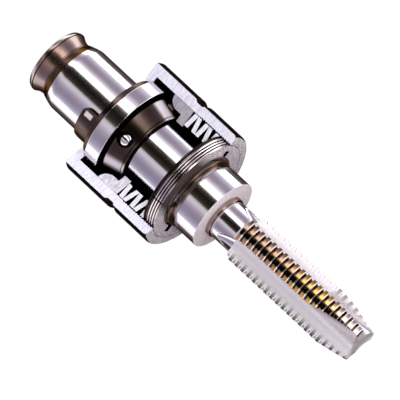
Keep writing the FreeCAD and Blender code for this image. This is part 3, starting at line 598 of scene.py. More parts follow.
lug_highlight_steel = steel("rubbed_lug_steel", DARK_BROWN, 0.2, EDGE_SHADE, tone=lug_painted_highlight)
lug = turn_up("drive_lug_block", [
    (lug_rear, SHANK_RADIUS + PRESS_GAP, 0), (lug_rear, LUG_RADIUS, 0.25),
    (LUG_LENGTH + LUG_OVERLAP, LUG_RADIUS, 0), (LUG_LENGTH + LUG_OVERLAP, SHANK_RADIUS + PRESS_GAP, 0)],
    [lug_highlight_steel], shape=lug_rear_edge, start=LUG_ANGLE - LUG_SPREAD / 2, sweep=LUG_SPREAD, around=90)
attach(lug, "drive_body")

# Ball cage: the dark tapered drum in front of the flange, with four holes that hold the clutch balls.
# Turned from case-hardened steel and blackened; its spigot sits in the flange.
DRUM_REAR_RADIUS = 12.2
DRUM_FRONT_RADIUS = 10.6
HUB_BORE = 9.45
RIM_LINE = 0.2
RIM_WIDTH = 0.55
BALL_HOLE = 1.8
HOLE_MOUTH = 2.15
HOLE_STEP = 0.9
HOLE_INNER_END = 7.0
HOLE_OUTER_END = 14.5
ball_low, ball_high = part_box("clutch_ball_1")
ball_x, ball_y, ball_z = (ball_low + ball_high) / 2 / MM
ball_angle = math.degrees(math.atan2(ball_z, ball_y))
spigot_rear, drum_front = span("ball_cage")
DRUM_LENGTH = 5.5
drum_rear = drum_front - DRUM_LENGTH


def drum_radius(x):
    return DRUM_REAR_RADIUS - (DRUM_REAR_RADIUS - DRUM_FRONT_RADIUS) * (x - drum_rear) / DRUM_LENGTH


def drum_painted_highlights(tree, base, at):
    """Oiled steel with pale, dull highlights painted on it beside the window's two ends."""
    oily, metal = oiled(tree, base, at)
    side = at.y / at.reach * 0.5 + 0.5
    # Painted highlights: pale, less metallic patches at two angles round the axis.
    painted_highlight = tree.ramp(side, (0.04, 0.0), (0.08, 1.0), (0.11, 0.9), (0.17, 0.0), (0.84, 0.0), (0.9, 0.9),
                     (0.935, 1.0), (0.965, 0.0))
    return tree.blend(painted_highlight * 0.9, oily, (0.78, 0.7, 0.76)), 1 - painted_highlight * 0.85


drum_highlight_steel = steel("worn_drum_steel", DARK_BROWN, 0.2, EDGE_SHADE, tone=drum_painted_highlights)
rim_line = drum_front - RIM_WIDTH - RIM_LINE
line_floor = drum_radius(rim_line) - RIM_LINE
# The cage's bore and rear face, and its ball holes, are painted black as shade.
cage = turn_up("ball_cage_drum", [
    (spigot_rear, SLEEVE_BORE), (spigot_rear, SPIGOT_RADIUS - PRESS_GAP),
    (drum_rear, SPIGOT_RADIUS - PRESS_GAP, 0), (drum_rear, DRUM_REAR_RADIUS, 0.25),
    (rim_line, drum_radius(rim_line), 0.04), (rim_line, line_floor, 0), (rim_line + RIM_LINE, line_floor, 0),
    (rim_line + RIM_LINE, drum_radius(rim_line + RIM_LINE), 0.06), (drum_front, DRUM_FRONT_RADIUS, 0.2),
    (drum_front, HUB_BORE, 0.1), (drum_rear, HUB_BORE, 0), (drum_rear, SLEEVE_BORE, 0)],
    [drum_highlight_steel, black_recess],
    choose=lambda x, r: 1 if r < drum_radius(x) - 0.12 or x < drum_rear + 0.02 else 0)
mouth_floor = drum_radius(ball_x) - HOLE_STEP
ball_cutter = cutter_plug("ball_cutter", [
    (HOLE_INNER_END, BALL_HOLE), (mouth_floor, BALL_HOLE), (mouth_floor, HOLE_MOUTH),
    (HOLE_OUTER_END, HOLE_MOUTH)], ball_x, black_recess, facets=56)
drilled(cage, ball_cutter, 4, turn=ball_angle)
finished(cage, "drive_body", "dark_steel", "ball_cage")

# Clutch balls: four bearing balls, lapped and polished, between the spindle's seats and the pressure ring.
# They are pressed outwards when the clutch slips.
BALL_RADIUS = (ball_high.x - ball_low.x) / 2 / MM


def bearing_ball(name, node, finish):
    """Ball built from a cube that is divided and blown up to a sphere, so that it has no poles."""
    low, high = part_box(node)
    middle = (low + high) / 2
    radius = (high.x - low.x) / 2
    work = bmesh.new()
    bmesh.ops.create_cube(work, size=2.0)
    bmesh.ops.subdivide_edges(work, edges=work.edges, cuts=15, use_grid_fill=True)
    for vertex in work.verts:
        vertex.co = middle + vertex.co.normalized() * radius
    mesh = bpy.data.meshes.new(name)
    work.to_mesh(mesh)
    work.free()
    mesh.materials.append(finish)
    mesh.shade_smooth()
    piece = bpy.data.objects.new(name, mesh)
    bpy.context.scene.collection.objects.link(piece)
    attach(piece, node)
    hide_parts(node)
    return piece


polished = steel("polished_balls", (0.95, 0.95, 0.96), 0.05, (0.3, 0.28, 0.28), lines=0.02, blotch=0.02)
shaded_ball = steel("oily_balls", (0.1, 0.075, 0.06), 0.22, (0.2, 0.15, 0.12), lines=0.02)
# The first ball is polished; the other three are coloured dark brown as painted shade.
for number in range(1, 5):
    finish = polished if number == 1 else shaded_ball
    bearing_ball(f"polished_clutch_ball_{number}", f"clutch_ball_{number}", finish)

# Cage lock screws: two hexagon socket grub screws that go through the flange onto the cage's spigot.
# Black oxide screws with a flat point.
GRUB_RADIUS = 1.0
GRUB_LENGTH = 2.2
GRUB_EDGE = 0.15
GRUB_POINT = 0.2
SOCKET_RADIUS = 0.5
SOCKET_DEPTH = 1.1
black_oxide = steel("black_oxide", (0.035, 0.03, 0.028), 0.32, (0.03, 0.025, 0.02))


def grub_screw(x, foot, angle):
    """Cylinder with a broken edge and a hexagon socket, pointing out at an angle about the axis."""
    top = foot + GRUB_LENGTH
    rings = [(foot, GRUB_RADIUS - GRUB_POINT), (foot + GRUB_POINT, GRUB_RADIUS),
             (top - GRUB_EDGE, GRUB_RADIUS), (top, GRUB_RADIUS - GRUB_EDGE), (top, SOCKET_RADIUS),
             (top - SOCKET_DEPTH, SOCKET_RADIUS)]
    facets = 36
    points = []
    along = Vector((1.0, 0.0, 0.0))
    outward = Vector((0.0, math.cos(math.radians(angle)), math.sin(math.radians(angle))))
    side = along.cross(outward)
    for level, (reach, radius) in enumerate(rings):
        for step in range(facets):
            turned = 2 * math.pi * step / facets
            if level > 3:
                hexagon = math.cos(math.pi / 6) / math.cos(turned % (math.pi / 3) - math.pi / 6)
            else:
                hexagon = 1.0
            way = along * math.cos(turned) + side * math.sin(turned)
            points.append(along * x + outward * reach + way * radius * hexagon)
    return points, closed_rings(len(rings), facets)


screw_points, screw_faces = [], []
for angle in (180.0, 270.0):
    more_points, more_faces = grub_screw(grub_x, SPIGOT_RADIUS, angle)
    screw_faces += [tuple(place + len(screw_points) for place in face) for face in more_faces]
    screw_points += more_points
screws = fix_normals(solid("grub_screws", screw_points, screw_faces, [black_oxide]))
finished(screws, "drive_body", "black_steel", "cage_lock_screws")

# Spindle: the inner sleeve that holds the tap. Its bright hub carries the ball seats and the snap ring,
# and its stem runs back through the shank. Turned, hardened and ground.
HUB_RADIUS = 9.4
STEM_RADIUS = 6.7
LAND_RADIUS = 7.2
LAND_REAR = -4.2
TAP_BORE = 5.65
AIR_BORE = 3.2
FRONT_SPIGOT = 7.6
CLIP_FLOOR = 6.3
SNAP_FLOOR = 8.9
TAP_TURN = 80.0
SEATS = 12
LOCK_HOLE = 1.05
SEAT_CENTRE = math.hypot(ball_y, ball_z)
spindle_rear, spindle_front = span("spindle")
clip_rear, clip_front = span("spring_clip")
snap_rear, snap_front = span("retaining_ring")
tap_rear, tap_front = span("tap")
HUB_REAR = drum_rear + 0.1
SQUARE_FRONT = tap_rear + 12.0
SQUARE_HALF = 4.55
hub_finish = steel("ground_hub", (0.93, 0.91, 0.94), 0.11, BROWN_EDGE)


def square_socket(x, r, degrees):
    """The bore behind the tap's shank is square."""
    if r > TAP_BORE + 0.2 or not tap_rear - 0.2 < x < SQUARE_FRONT - 0.05:
        return x, r
    from_flat = (degrees - TAP_TURN + 45.0) % 90.0 - 45.0
    return x, min(TAP_BORE, SQUARE_HALF / math.cos(math.radians(from_flat)))


spindle = turn_up("spindle_hub", [
    (spindle_rear, AIR_BORE), (spindle_rear, STEM_RADIUS, 0.3), (clip_rear, STEM_RADIUS, 0.05),
    (clip_rear, CLIP_FLOOR, 0), (clip_front, CLIP_FLOOR, 0), (clip_front, STEM_RADIUS, 0.05),
    (LAND_REAR, STEM_RADIUS, 0), (LAND_REAR, LAND_RADIUS), (HUB_REAR, LAND_RADIUS, 0), (HUB_REAR, HUB_RADIUS),
    (snap_rear, HUB_RADIUS, 0.05), (snap_rear, SNAP_FLOOR, 0), (snap_front, SNAP_FLOOR, 0),
    (snap_front, FRONT_SPIGOT, 0), (spindle_front, FRONT_SPIGOT), (spindle_front, TAP_BORE),
    (SQUARE_FRONT, TAP_BORE, 0),
    (SQUARE_FRONT - 0.1, TAP_BORE, 0), (tap_rear - 0.1, TAP_BORE, 0), (tap_rear - 0.1, AIR_BORE, 0)],
    [hub_finish], shape=square_socket)
seat_radius = BALL_RADIUS + 0.05
bowl = [(SEAT_CENTRE - seat_radius * math.cos(math.radians(12 * step + 6)),
         seat_radius * math.sin(math.radians(12 * step + 6))) for step in range(8)]
bowl.append((SEAT_CENTRE + 1.0, seat_radius))
seat_cutter = cutter_plug("seat_cutter", bowl, ball_x, hub_finish, facets=24)
drilled(spindle, seat_cutter, SEATS, turn=ball_angle)
lock_rear, lock_front = span("lock_ball_1")
lock_x = (lock_rear + lock_front) / 2
through_land = [(TAP_BORE - 1.15, LOCK_HOLE), (LAND_RADIUS + 1, LOCK_HOLE)]
lock_hole = cutter_plug("lock_hole_cutter", through_land, lock_x, hub_finish, facets=24)
drilled(spindle, lock_hole, 2, turn=ball_angle)
finished(spindle, "spindle", "ground_steel", "spindle")

# Nose sleeve: the bright collar and nose in front of the snap ring, pressed on the spindle's spigot.
# Ground outside; its front face is lapped to a light, even grain.
NOSE_RADIUS = 10.15
NOSE_BORE = 6.0
NOSE_COLLAR = 1.4
NOSE_LIP = 0.9
LIP_LENGTH = 1.25
LIP_INNER = 5.7
nose_rear, nose_front = span("nose_sleeve")


def speckle(name, dark, light, roughness, size, tone=None, gloss=0.5):
    """Lapped or cut steel seen as an even, fine grain."""
    finish = bpy.data.materials.new(name)
    tree = Tree(finish)
    at = Place(tree)
    grain = tree.noise(at.vector, 1 / (size * MM), 2.0, 0.6)
    colour = tree.ramp(grain, (0.36, dark), (0.64, light))
    if tone:
        colour = tone(tree, colour, at)
    tree.coat({"Base Color": colour, "Roughness": (grain - 0.5) * 0.2 + roughness,
               "Normal": tree.bump(0.3, 0.01, grain), "Specular IOR Level": gloss})
    return finish


lip_finish = steel("nose_lip_steel", (0.42, 0.34, 0.3), 0.18, EDGE_SHADE)
nose_face = speckle("lapped_nose_face", (0.6, 0.52, 0.53), (0.95, 0.86, 0.87), 0.5, 0.28)
nose = turn_up("nose_ring", [
    (nose_rear, FRONT_SPIGOT + PRESS_GAP, 0), (nose_rear, HUB_RADIUS),
    (nose_rear + NOSE_COLLAR, HUB_RADIUS, 0), (nose_rear + NOSE_COLLAR, NOSE_RADIUS, 0.3),
    (nose_front, NOSE_RADIUS, 0.12), (nose_front, NOSE_BORE, 0),
    (nose_front + LIP_LENGTH, NOSE_BORE, 0.08), (nose_front + LIP_LENGTH, LIP_INNER, 0),
    (nose_front - NOSE_LIP, LIP_INNER, 0), (nose_front - NOSE_LIP, FRONT_SPIGOT + PRESS_GAP, 0)],
    [ground, nose_face, lip_finish],
    choose=lambda x, r: 2 if r < NOSE_BORE + 0.01 else 1 if nose_front - 0.04 < x and r > NOSE_BORE else 0)
finished(nose, "spindle", "ground_steel", "nose_sleeve")

# Retaining ring: the open snap ring in the hub's groove, in front of the adjusting ring.
# Stamped spring steel, blackened, with a brown film of oil.
SNAP_RADIUS = 10.6
SNAP_ANGLE = 122.0
SNAP_OPENING = 24.0
worn_snap = steel("oily_spring_steel", (0.3, 0.21, 0.17), 0.3, EDGE_SHADE)
snap_ring = turn_up("snap_ring", [
    (snap_rear, SNAP_FLOOR + PRESS_GAP, 0.05), (snap_rear, SNAP_RADIUS, 0.12),
    (snap_front, SNAP_RADIUS, 0.12), (snap_front, SNAP_FLOOR + PRESS_GAP, 0.05)], [worn_snap],
    start=SNAP_ANGLE + SNAP_OPENING / 2, sweep=360 - SNAP_OPENING)
finished(snap_ring, "spindle", "black_steel", "retaining_ring")

# Spring clip and release spring: the clip snaps in the stem's groove and stops the coil spring,
# which pushes the release sleeve forward over the lock balls. Square wire, black.
CLIP_RADIUS = 7.55
CHAMBER_RADIUS = 7.6
WIRE_SIDE = 0.45
WIRE_TURNS = 5.0
clip = turn_up("stem_clip", [
    (clip_rear, CLIP_FLOOR + PRESS_GAP, 0), (clip_rear, CLIP_RADIUS), (clip_front, CLIP_RADIUS),
    (clip_front, CLIP_FLOOR + PRESS_GAP, 0)], [black_oxide], edge=0.08)
finished(clip, "spindle", "black_steel", "spring_clip")
coil_rear, coil_front = span("release_spring")


def wound_coil(name, rear, front, radius, finish):
    """Coil spring grown from a spiral curve with a square wire."""
    growth = Growth("coil_of_wire", Turns="Float", Radius="Float", Length="Float", Wire="Float",
                    Rear="Float", Finish="Material")
    tree, given = growth.tree, growth.given
    path = tree.node("GeometryNodeCurveSpiral", named={
        "Resolution": 40, "Rotations": given["Turns"], "Start Radius": given["Radius"],
        "End Radius": given["Radius"], "Height": given["Length"]})
    wire = tree.node("GeometryNodeCurvePrimitiveQuadrilateral", named={
        "Width": given["Wire"], "Height": given["Wire"]})
    tube = tree.node("GeometryNodeCurveToMesh", path, named={"Profile Curve": wire, "Fill Caps": True})
    lay = tree.node("GeometryNodeTransform", tube, named={
        "Translation": tree.node("ShaderNodeCombineXYZ", given["Rear"]), "Rotation": (0.0, math.pi / 2, 0.0)})
    return growth.grow(name, lay, ["Finish"], Turns=WIRE_TURNS, Radius=radius * MM, Wire=WIRE_SIDE * MM,
                       Length=(front - rear - WIRE_SIDE) * MM, Rear=(rear + WIRE_SIDE / 2) * MM,
                       Finish=finish)


coil = wound_coil("release_coil", coil_rear, coil_front, (STEM_RADIUS + CHAMBER_RADIUS) / 2, black_oxide)
finished(coil, "spindle", "black_steel", "release_spring")
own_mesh(coil)

# Tap: a three-flute machine tap with a spiral point, gripped by its shank. High-speed steel, coated;
# the coat is gold-brown on the threads, and the flutes and the lead are ground bright again.
TAP_SHANK = 5.6
SQUARE_WIDTH = 9.0
THREAD_RADIUS = 7.05
THREAD_PITCH = 2.07
THREAD_DEPTH = 0.98
CREST_END = 0.46
FLANK_SHARE = 0.42
THREAD_LENGTH = 40.5
THREAD_STEP = 0.9
LEAD_LENGTH = 8.3
LEAD_RADIUS = 5.4
FLUTES = 3
FLUTE_OFFSET = 6.35
FLUTE_RADIUS = 3.65
FLUTE_RUNOUT = 10.0
FLUTE_BEHIND = 6.1
POINT_LENGTH = 15.0
POINT_SKEW = math.radians(15.0)
POINT_CUTTER = 3.6
ROWS_PER_PITCH = 16
thread_rear = tap_front - THREAD_LENGTH
flute_start = thread_rear - FLUTE_BEHIND
RUNOUT_RADIUS = (FLUTE_RUNOUT ** 2 + FLUTE_RADIUS ** 2) / (2 * FLUTE_RADIUS)


def thread_profile(phase):
    """0 on the crest flat, 1 on the root flat."""
    phase = abs(phase - round(phase)) * 2
    return min(1.0, max(0.0, (phase - CREST_END) / FLANK_SHARE))


def thread_crest(x):
    """Crest radius along the thread, with the tapered lead at its end."""
    lead = max(0.0, x - (tap_front - LEAD_LENGTH)) / LEAD_LENGTH
    return THREAD_RADIUS - (THREAD_RADIUS - LEAD_RADIUS) * lead


def ray_to_round(origin, along, centre, radius, axis):
    """Distance along a ray at which it meets a round cutter, or None."""
    gap = origin - centre
    ray = along - axis * along.dot(axis)
    gap = gap - axis * gap.dot(axis)
    a = ray.dot(ray)
    b = ray.dot(gap)
    c = gap.dot(gap) - radius * radius
    root = b * b - a * c
    if root <= 0:
        return None
    near = (-b - math.sqrt(root)) / a
    return near if near > 0 else None


def tap_surface(x, r, degrees):
    """Radius of the tap at a place: shank, square, thread with its lead, flutes and spiral point."""
    if x < thread_rear - THREAD_STEP:
        radius = min(r, TAP_SHANK)
        if x < SQUARE_FRONT:
            from_flat = (degrees - TAP_TURN + 45.0) % 90.0 - 45.0
            radius = min(radius, SQUARE_WIDTH / 2 / math.cos(math.radians(from_flat)))
    else:
        shoulder = TAP_SHANK + (x - thread_rear + THREAD_STEP) * (THREAD_RADIUS - TAP_SHANK) / THREAD_STEP
        groove = thread_profile((x - thread_rear) / THREAD_PITCH - degrees / 360)
        radius = min(shoulder, thread_crest(x), THREAD_RADIUS - THREAD_DEPTH * groove)
    if x <= flute_start:
        return x, radius
    angle = math.radians(degrees)
    outward = Vector((0.0, math.cos(angle), math.sin(angle)))
    origin = Vector((x, 0.0, 0.0))
    from_start = x - flute_start
    to_full_depth = max(0.0, FLUTE_RUNOUT - from_start)
    cutter = FLUTE_RADIUS - RUNOUT_RADIUS + math.sqrt(RUNOUT_RADIUS ** 2 - to_full_depth ** 2)
    straight = Vector((1.0, 0.0, 0.0))
    for number in range(FLUTES):
        flute = math.radians(TAP_TURN + 180 / FLUTES + number * 360 / FLUTES)
        towards = Vector((0.0, math.cos(flute), math.sin(flute)))
        if outward.dot(towards) < 0:
            continue
        cuts = []
        if cutter > 0.05:
            cuts.append(ray_to_round(origin, outward, towards * FLUTE_OFFSET, cutter, straight))
        if x > tap_front - POINT_LENGTH:
            skew = straight * math.cos(POINT_SKEW) - straight.cross(towards) * math.sin(POINT_SKEW)
            entry = towards * FLUTE_OFFSET + straight * (tap_front - POINT_LENGTH)
            cuts.append(ray_to_round(origin, outward, entry, POINT_CUTTER, skew.normalized()))
        radius = min([radius] + [cut for cut in cuts if cut is not None])
    return x, radius


# The coat's colour holds painted light and shade: a dark band on the upper lands, lower lands black towards
# -Y and grey elsewhere, pale flank highlights, and roots dark above and pale below.
coated = bpy.data.materials.new("coated_tap_steel")
coat = Tree(coated)
at = Place(coat)
on_land = coat.attribute("land")
root = coat.attribute("groove")
pointed = coat.attribute("point")
along_tap = (at.x - thread_rear * MM) / (THREAD_LENGTH * MM)
turned_to = at.y / at.reach
# Upper lands against lower lands: lit and shaded colours of one coat.
top_land = coat.ramp(at.z / (THREAD_RADIUS * MM), (0.5, 0.0), (0.66, 1.0))
gold = coat.ramp(along_tap, (0.0, (0.42, 0.25, 0.17)), (0.35, (0.52, 0.28, 0.13)),
                 (0.66, (0.8, 0.45, 0.06)), (0.8, (0.72, 0.5, 0.25)), (0.88, (0.75, 0.7, 0.68)),
                 (1.0, (0.8, 0.77, 0.78)))
# Painted dark reflection band along one side of the upper lands.
painted_dark_band = coat.ramp(turned_to + 0.5, (0.46, 0.0), (0.49, 1.0), (0.68, 1.0), (0.74, 0.0))
painted_dark_band = painted_dark_band * coat.ramp(along_tap, (0.88, 1.0), (0.95, 0.3))
lower_strip = coat.ramp(turned_to + 0.5, (0.42, 1.0), (0.46, 0.0))
unshaded_share = coat.ramp(turned_to * 0.5 + 0.5, (0.4, 0.0), (0.45, 1.0))
far_lead = coat.ramp(along_tap, (0.62, (0.74, 0.7, 0.73)), (0.66, (0.34, 0.27, 0.26)),
                     (0.9, (0.45, 0.38, 0.37)))
side_painted_shade = coat.blend(unshaded_share, (0.05, 0.04, 0.04), far_lead)
tint = coat.blend(top_land, side_painted_shade, coat.blend(painted_dark_band * 0.85, gold, (0.03, 0.018, 0.01)))
mottle = coat.noise(at.vector, 700.0, 4.0)
# Root colour: dark brown on the upper side as painted shade, pale on the lower lands as painted light.
root_shade_and_light = coat.blend(top_land, (0.9, 0.87, 0.9), coat.blend(mottle, (0.08, 0.04, 0.02), (0.16, 0.08, 0.04)))
# Painted highlight: pale lines on the thread flanks, also less metallic.
painted_flank_highlight = coat.ramp(root, (0.02, 0.0), (0.08, 1.0), (0.4, 1.0), (0.5, 0.0)) * (1 - painted_dark_band * 0.6)
crest_to_root = coat.blend(coat.ramp(root, (0.35, 0.0), (0.5, 1.0)), tint, root_shade_and_light)
thread_tone = coat.blend(painted_flank_highlight * 0.85, crest_to_root, (0.98, 0.94, 0.9))
flute_tone = coat.blend(pointed, coat.blend(mottle, (0.72, 0.68, 0.7), (0.82, 0.79, 0.82)),
                        coat.blend(mottle, (0.5, 0.45, 0.46), (0.64, 0.59, 0.61)))
grind = coat.lines(at.x / (0.25 * MM), 3.0)
# Full metal only on the upper lands, less on the strip towards -Y, so that the painted colours show.
mirror = on_land * top_land * (1 - lower_strip * 0.8) * 0.65 + 0.35
coat.coat({"Base Color": coat.blend(on_land, flute_tone, thread_tone),
           "Metallic": mirror * (1 - on_land * painted_flank_highlight * 0.9),
           "Roughness": (grind - 0.5) * 0.08 + (1 - on_land) * 0.26 + 0.11,
           "Normal": coat.bump(0.25, 0.004, grind), "Specular Tint": (0.3, 0.2, 0.15, 1.0)})

SHANK_ROWS_END = thread_rear - 7.0
SHANK_ROW = 0.8
TAP_CHAMFER = 0.6
rows = [tap_rear + TAP_CHAMFER]
while rows[-1] < SHANK_ROWS_END:
    rows.append(rows[-1] + SHANK_ROW)
while rows[-1] < tap_front - 0.16:
    rows.append(rows[-1] + THREAD_PITCH / ROWS_PER_PITCH)
tap_outline = [(tap_rear, 0.0, 0), (tap_rear, TAP_SHANK - TAP_CHAMFER, 0)]
tap_outline += [(x, THREAD_RADIUS if x > thread_rear - THREAD_STEP else TAP_SHANK, 0) for x in rows]
tap_outline += [(tap_front, LEAD_RADIUS, 0), (tap_front, 0.0, 0)]
tap = turn_up("threaded_tap", tap_outline, [coated, ground], shape=tap_surface, around=264,
              choose=lambda x, r: 1 if x < thread_rear - THREAD_STEP else 0)
masks = {name: tap.data.attributes.new(name, "FLOAT", "POINT") for name in ("land", "groove", "point")}
for number, vertex in enumerate(tap.data.vertices):
    x, y, z = (part / MM for part in vertex.co)
    degrees = math.degrees(math.atan2(z, y))
    deep = thread_profile((x - thread_rear) / THREAD_PITCH - degrees / 360)
    uncut = min(thread_crest(x), THREAD_RADIUS - THREAD_DEPTH * deep)
    nearest = round((degrees - TAP_TURN) * FLUTES / 360 - 0.5) + 0.5
    flute = math.radians(TAP_TURN + nearest * 360 / FLUTES)
    from_cutter = math.hypot(y - FLUTE_OFFSET * math.cos(flute), z - FLUTE_OFFSET * math.sin(flute))
    not_fluted = abs(math.hypot(y, z) - uncut) < 0.03 and x > thread_rear
    off_flute = from_cutter > FLUTE_RADIUS + 0.04 and x > tap_front - POINT_LENGTH
    masks["land"].data[number].value = float(not_fluted)
    masks["groove"].data[number].value = deep
    masks["point"].data[number].value = float(off_flute)
smooth(tap, 34)
finished(tap, "tap", "tap_steel", "tap")

# Lock balls: two small balls in the spindle's wall that the release sleeve presses on the tap's shank.
# Bearing balls, polished.
for number in range(1, 3):
    bearing_ball(f"polished_lock_ball_{number}", f"lock_ball_{number}", polished)

# Release sleeve: slides between shank and spindle, with the spring chamber behind and the cone in front.
# Turned and hardened; only its rear neck shows between the shank and the head ring.
SLEEVE_RADIUS = 8.3
CHAMBER_FRONT = -4.0
LOCK_CONE = math.radians(7.6)
LOCK_CENTRE = 6.62
LOCK_RADIUS = 1.02
CONE_REACH = 3.0
sleeve_finish = steel("turned_sleeve", (0.22, 0.16, 0.13), 0.28, EDGE_SHADE)
sleeve_rear, sleeve_front = span("release_sleeve")
head_rear, head_front = span("release_ring")
lock_slope = math.tan(LOCK_CONE)
over_ball = LOCK_CENTRE + LOCK_RADIUS / math.cos(LOCK_CONE)
cone_end = lock_x - CONE_REACH
sleeve = turn_up("release_sleeve_tube", [
    (sleeve_rear, CHAMBER_RADIUS), (sleeve_rear, SLEEVE_RADIUS - 0.2), (head_front, SLEEVE_RADIUS - 0.2, 0),
    (head_front, SLEEVE_RADIUS, 0), (sleeve_front, SLEEVE_RADIUS, 0.1),
    (sleeve_front, over_ball + (sleeve_front - lock_x) * lock_slope, 0.05),
    (cone_end, over_ball - CONE_REACH * lock_slope, 0), (cone_end, LAND_RADIUS + 0.05, 0),
    (CHAMBER_FRONT, LAND_RADIUS + 0.05, 0.05), (CHAMBER_FRONT, CHAMBER_RADIUS, 0)], [sleeve_finish])
finished(sleeve, "release_sleeve", "sleeve_steel", "release_sleeve")

# Release ring: the head at the rear end that is drawn back to free the tap, with a hollow for the fingers.
# Turned steel, oiled to a copper-brown, with a lighter rim.
HEAD_RADIUS = 9.25
HEAD_RIM = 8.9
HEAD_BAND = 1.2
HEAD_LINE = 0.22
HEAD_HOLLOW = 4.3


def head_brown_painted_shade(tree, base, at):
    """Copper-brown that pales on the rim band, with painted shade darkening the middle of its width across y.
    """
    from_rear = (at.x - head_rear * MM) / (HEAD_BAND * MM)
    rim = tree.ramp(from_rear, (0.9, (0.62, 0.52, 0.48)), (1.0, (0.4, 0.31, 0.29)))
    side = at.y / (2 * HEAD_RADIUS * MM) + 0.5
    # Painted shade: darker brown across the middle in y.
    middle = tree.ramp(side, (0.16, 0.0), (0.34, 1.0), (0.62, 1.0), (0.82, 0.0))
    warm = tree.blend(tree.noise(at.vector, 300.0, 3.0), (0.2, 0.1, 0.06), (0.5, 0.33, 0.26))
    return tree.blend(middle * 0.75, rim, warm), 1.0


def bowed(start, end, radius):
    """Points on an arc from start to end that bows to the left of the way between them."""
    start, end = Vector(start), Vector(end)
    chord = end - start
    height = radius - math.sqrt(radius ** 2 - chord.length ** 2 / 4)
    aside = Vector((-chord.y, chord.x)).normalized()
    steps = 8
    spots = [start + chord * step / steps + aside * height * (1 - (2 * step / steps - 1) ** 2)
             for step in range(steps + 1)]
    return [(spot.x, spot.y, 0) for spot in spots]


head_finish = steel("copper_brown_steel", (0.4, 0.28, 0.22), 0.22, (0.08, 0.05, 0.04), tone=head_brown_painted_shade)
band = head_rear + HEAD_BAND
hollow = bowed((head_front, SLEEVE_RADIUS + 0.02), (band + HEAD_LINE, HEAD_RADIUS - 0.15), HEAD_HOLLOW)
hollow.reverse()
# The line groove behind the rim band is painted black as shade.
head = turn_up("release_head", [
    (head_rear, SLEEVE_RADIUS - 0.18), (head_rear, HEAD_RIM, 0.35), (band - 0.3, HEAD_RADIUS, 0.5),
    (band, HEAD_RADIUS, 0.05), (band, HEAD_RADIUS - 0.4, 0), (band + HEAD_LINE, HEAD_RADIUS - 0.4, 0),
    *hollow, (head_front, SLEEVE_RADIUS - 0.18, 0)],
    [head_finish, black_recess],
    choose=lambda x, r: 1 if band - 0.01 < x < band + HEAD_LINE + 0.01 and r < HEAD_RADIUS - 0.1 else 0)
finished(head, "release_sleeve", "head_steel", "release_ring")

# Pressure ring: its cone drives the balls into the hub's seats under the disc springs' load.
# Hardened steel, cut open like the housing; the cut faces are ground bright and pale.
WINDOW_START = 161.0
SOLID_ANGLE = 218.0
PRESSURE_RIM = 14.93
WEB_RADIUS = 9.9
TONGUE_RADIUS = 12.05
WEB_WIDTH = 2.3
CONE_ANGLE = math.radians(30.0)
NOSE_BULGE = 2.9
pressure_rear, pressure_front = span("pressure_ring")


def cut_face(name, low, high, unshaded_share=1.0):
    """Pale section face with the faint slanting strokes that a section is drawn and sawn with; on the +Y side
    it is darkened as painted shade, keeping the given share of its colour.
    """
    finish = bpy.data.materials.new(name)
    tree = Tree(finish)
    at = Place(tree)
    slant = tree.node("ShaderNodeMapping", named={
        "Vector": at.vector, "Rotation": (0.0, math.radians(38), 0.0), "Scale": (2600.0, 500.0, 260.0)})
    strokes = tree.noise(slant, 1.0, 3.0, 0.55)
    shaded_side = tree.ramp(at.y / MM, (0.0, 0.0), (1.0, 1.0 - unshaded_share))
    colour = tree.blend(shaded_side, tree.ramp(strokes, (0.35, low), (0.6, high)), (0.12, 0.1, 0.13))
    tree.coat({"Base Color": colour, "Metallic": 0.1, "Roughness": (strokes - 0.5) * 0.2 + 0.45,
               "Normal": tree.bump(0.2, 0.006, strokes)})
    return finish


section = cut_face("housing_cut_face", (0.66, 0.65, 0.78), (0.86, 0.85, 0.93))
# The pressure ring's cut face on the +Y side is painted darker, as shade.
ring_section = cut_face("ring_cut_face", (0.5, 0.47, 0.56), (0.85, 0.83, 0.9), unshaded_share=0.45)
blackened = steel("blackened_steel", (0.05, 0.04, 0.036), 0.34, (0.04, 0.03, 0.025))
touch = BALL_RADIUS + PRESS_GAP
cone_rear = SEAT_CENTRE + (touch - 0.1 * math.sin(CONE_ANGLE)) / math.cos(CONE_ANGLE)
cone_start = ball_x + 0.1
cone_length = (cone_rear - TONGUE_RADIUS) / math.tan(CONE_ANGLE)
rounded_nose = [(x, min(r, PRESSURE_RIM), edge) for x, r, edge in
                bowed((cone_start, cone_rear), (pressure_rear, PRESSURE_RIM), NOSE_BULGE)]
web_rear = pressure_front - WEB_WIDTH
pressure = turn_up("pressure_ring_cone", [
    (pressure_front, PRESSURE_RIM), (pressure_front, WEB_RADIUS), (web_rear, WEB_RADIUS),
    (web_rear, TONGUE_RADIUS, 0.1), (cone_start + cone_length, TONGUE_RADIUS, 0.05), *rounded_nose],
    [blackened, ring_section], start=WINDOW_START, sweep=SOLID_ANGLE, around=110)
finished(pressure, "pressure_ring", "housing_steel", "pressure_ring")
pressure.visible_glossy = False

# Disc springs: five conical spring washers in series, each turned the other way round from the last.
# Spring strip, blued on the faces; the cut faces are bright. Two lie behind the middle of the stack
# and flatten when the clutch lifts, and three in front of it flatten when the setting ring goes in.
SPRING_PITCH = 1.9
SPRING_THICKNESS = 1.2
SPRING_INNER = 10.6
SPRING_OUTER = 14.8
spring_rear, spring_front = span("disc_spring_1")
spring_face = steel("blued_spring", (0.035, 0.03, 0.03), 0.3, (0.05, 0.03, 0.02))
spring_section = cut_face("spring_cut_face", (0.72, 0.7, 0.78), (0.93, 0.92, 0.97))
one_disc = turn_up("disc_spring_pattern", [
    (spring_rear, SPRING_INNER), (spring_front - SPRING_THICKNESS, SPRING_OUTER),
    (spring_front, SPRING_OUTER), (spring_rear + SPRING_THICKNESS, SPRING_INNER)],
    [spring_face, spring_section], edge=0.08, start=WINDOW_START, sweep=SOLID_ANGLE, around=110)


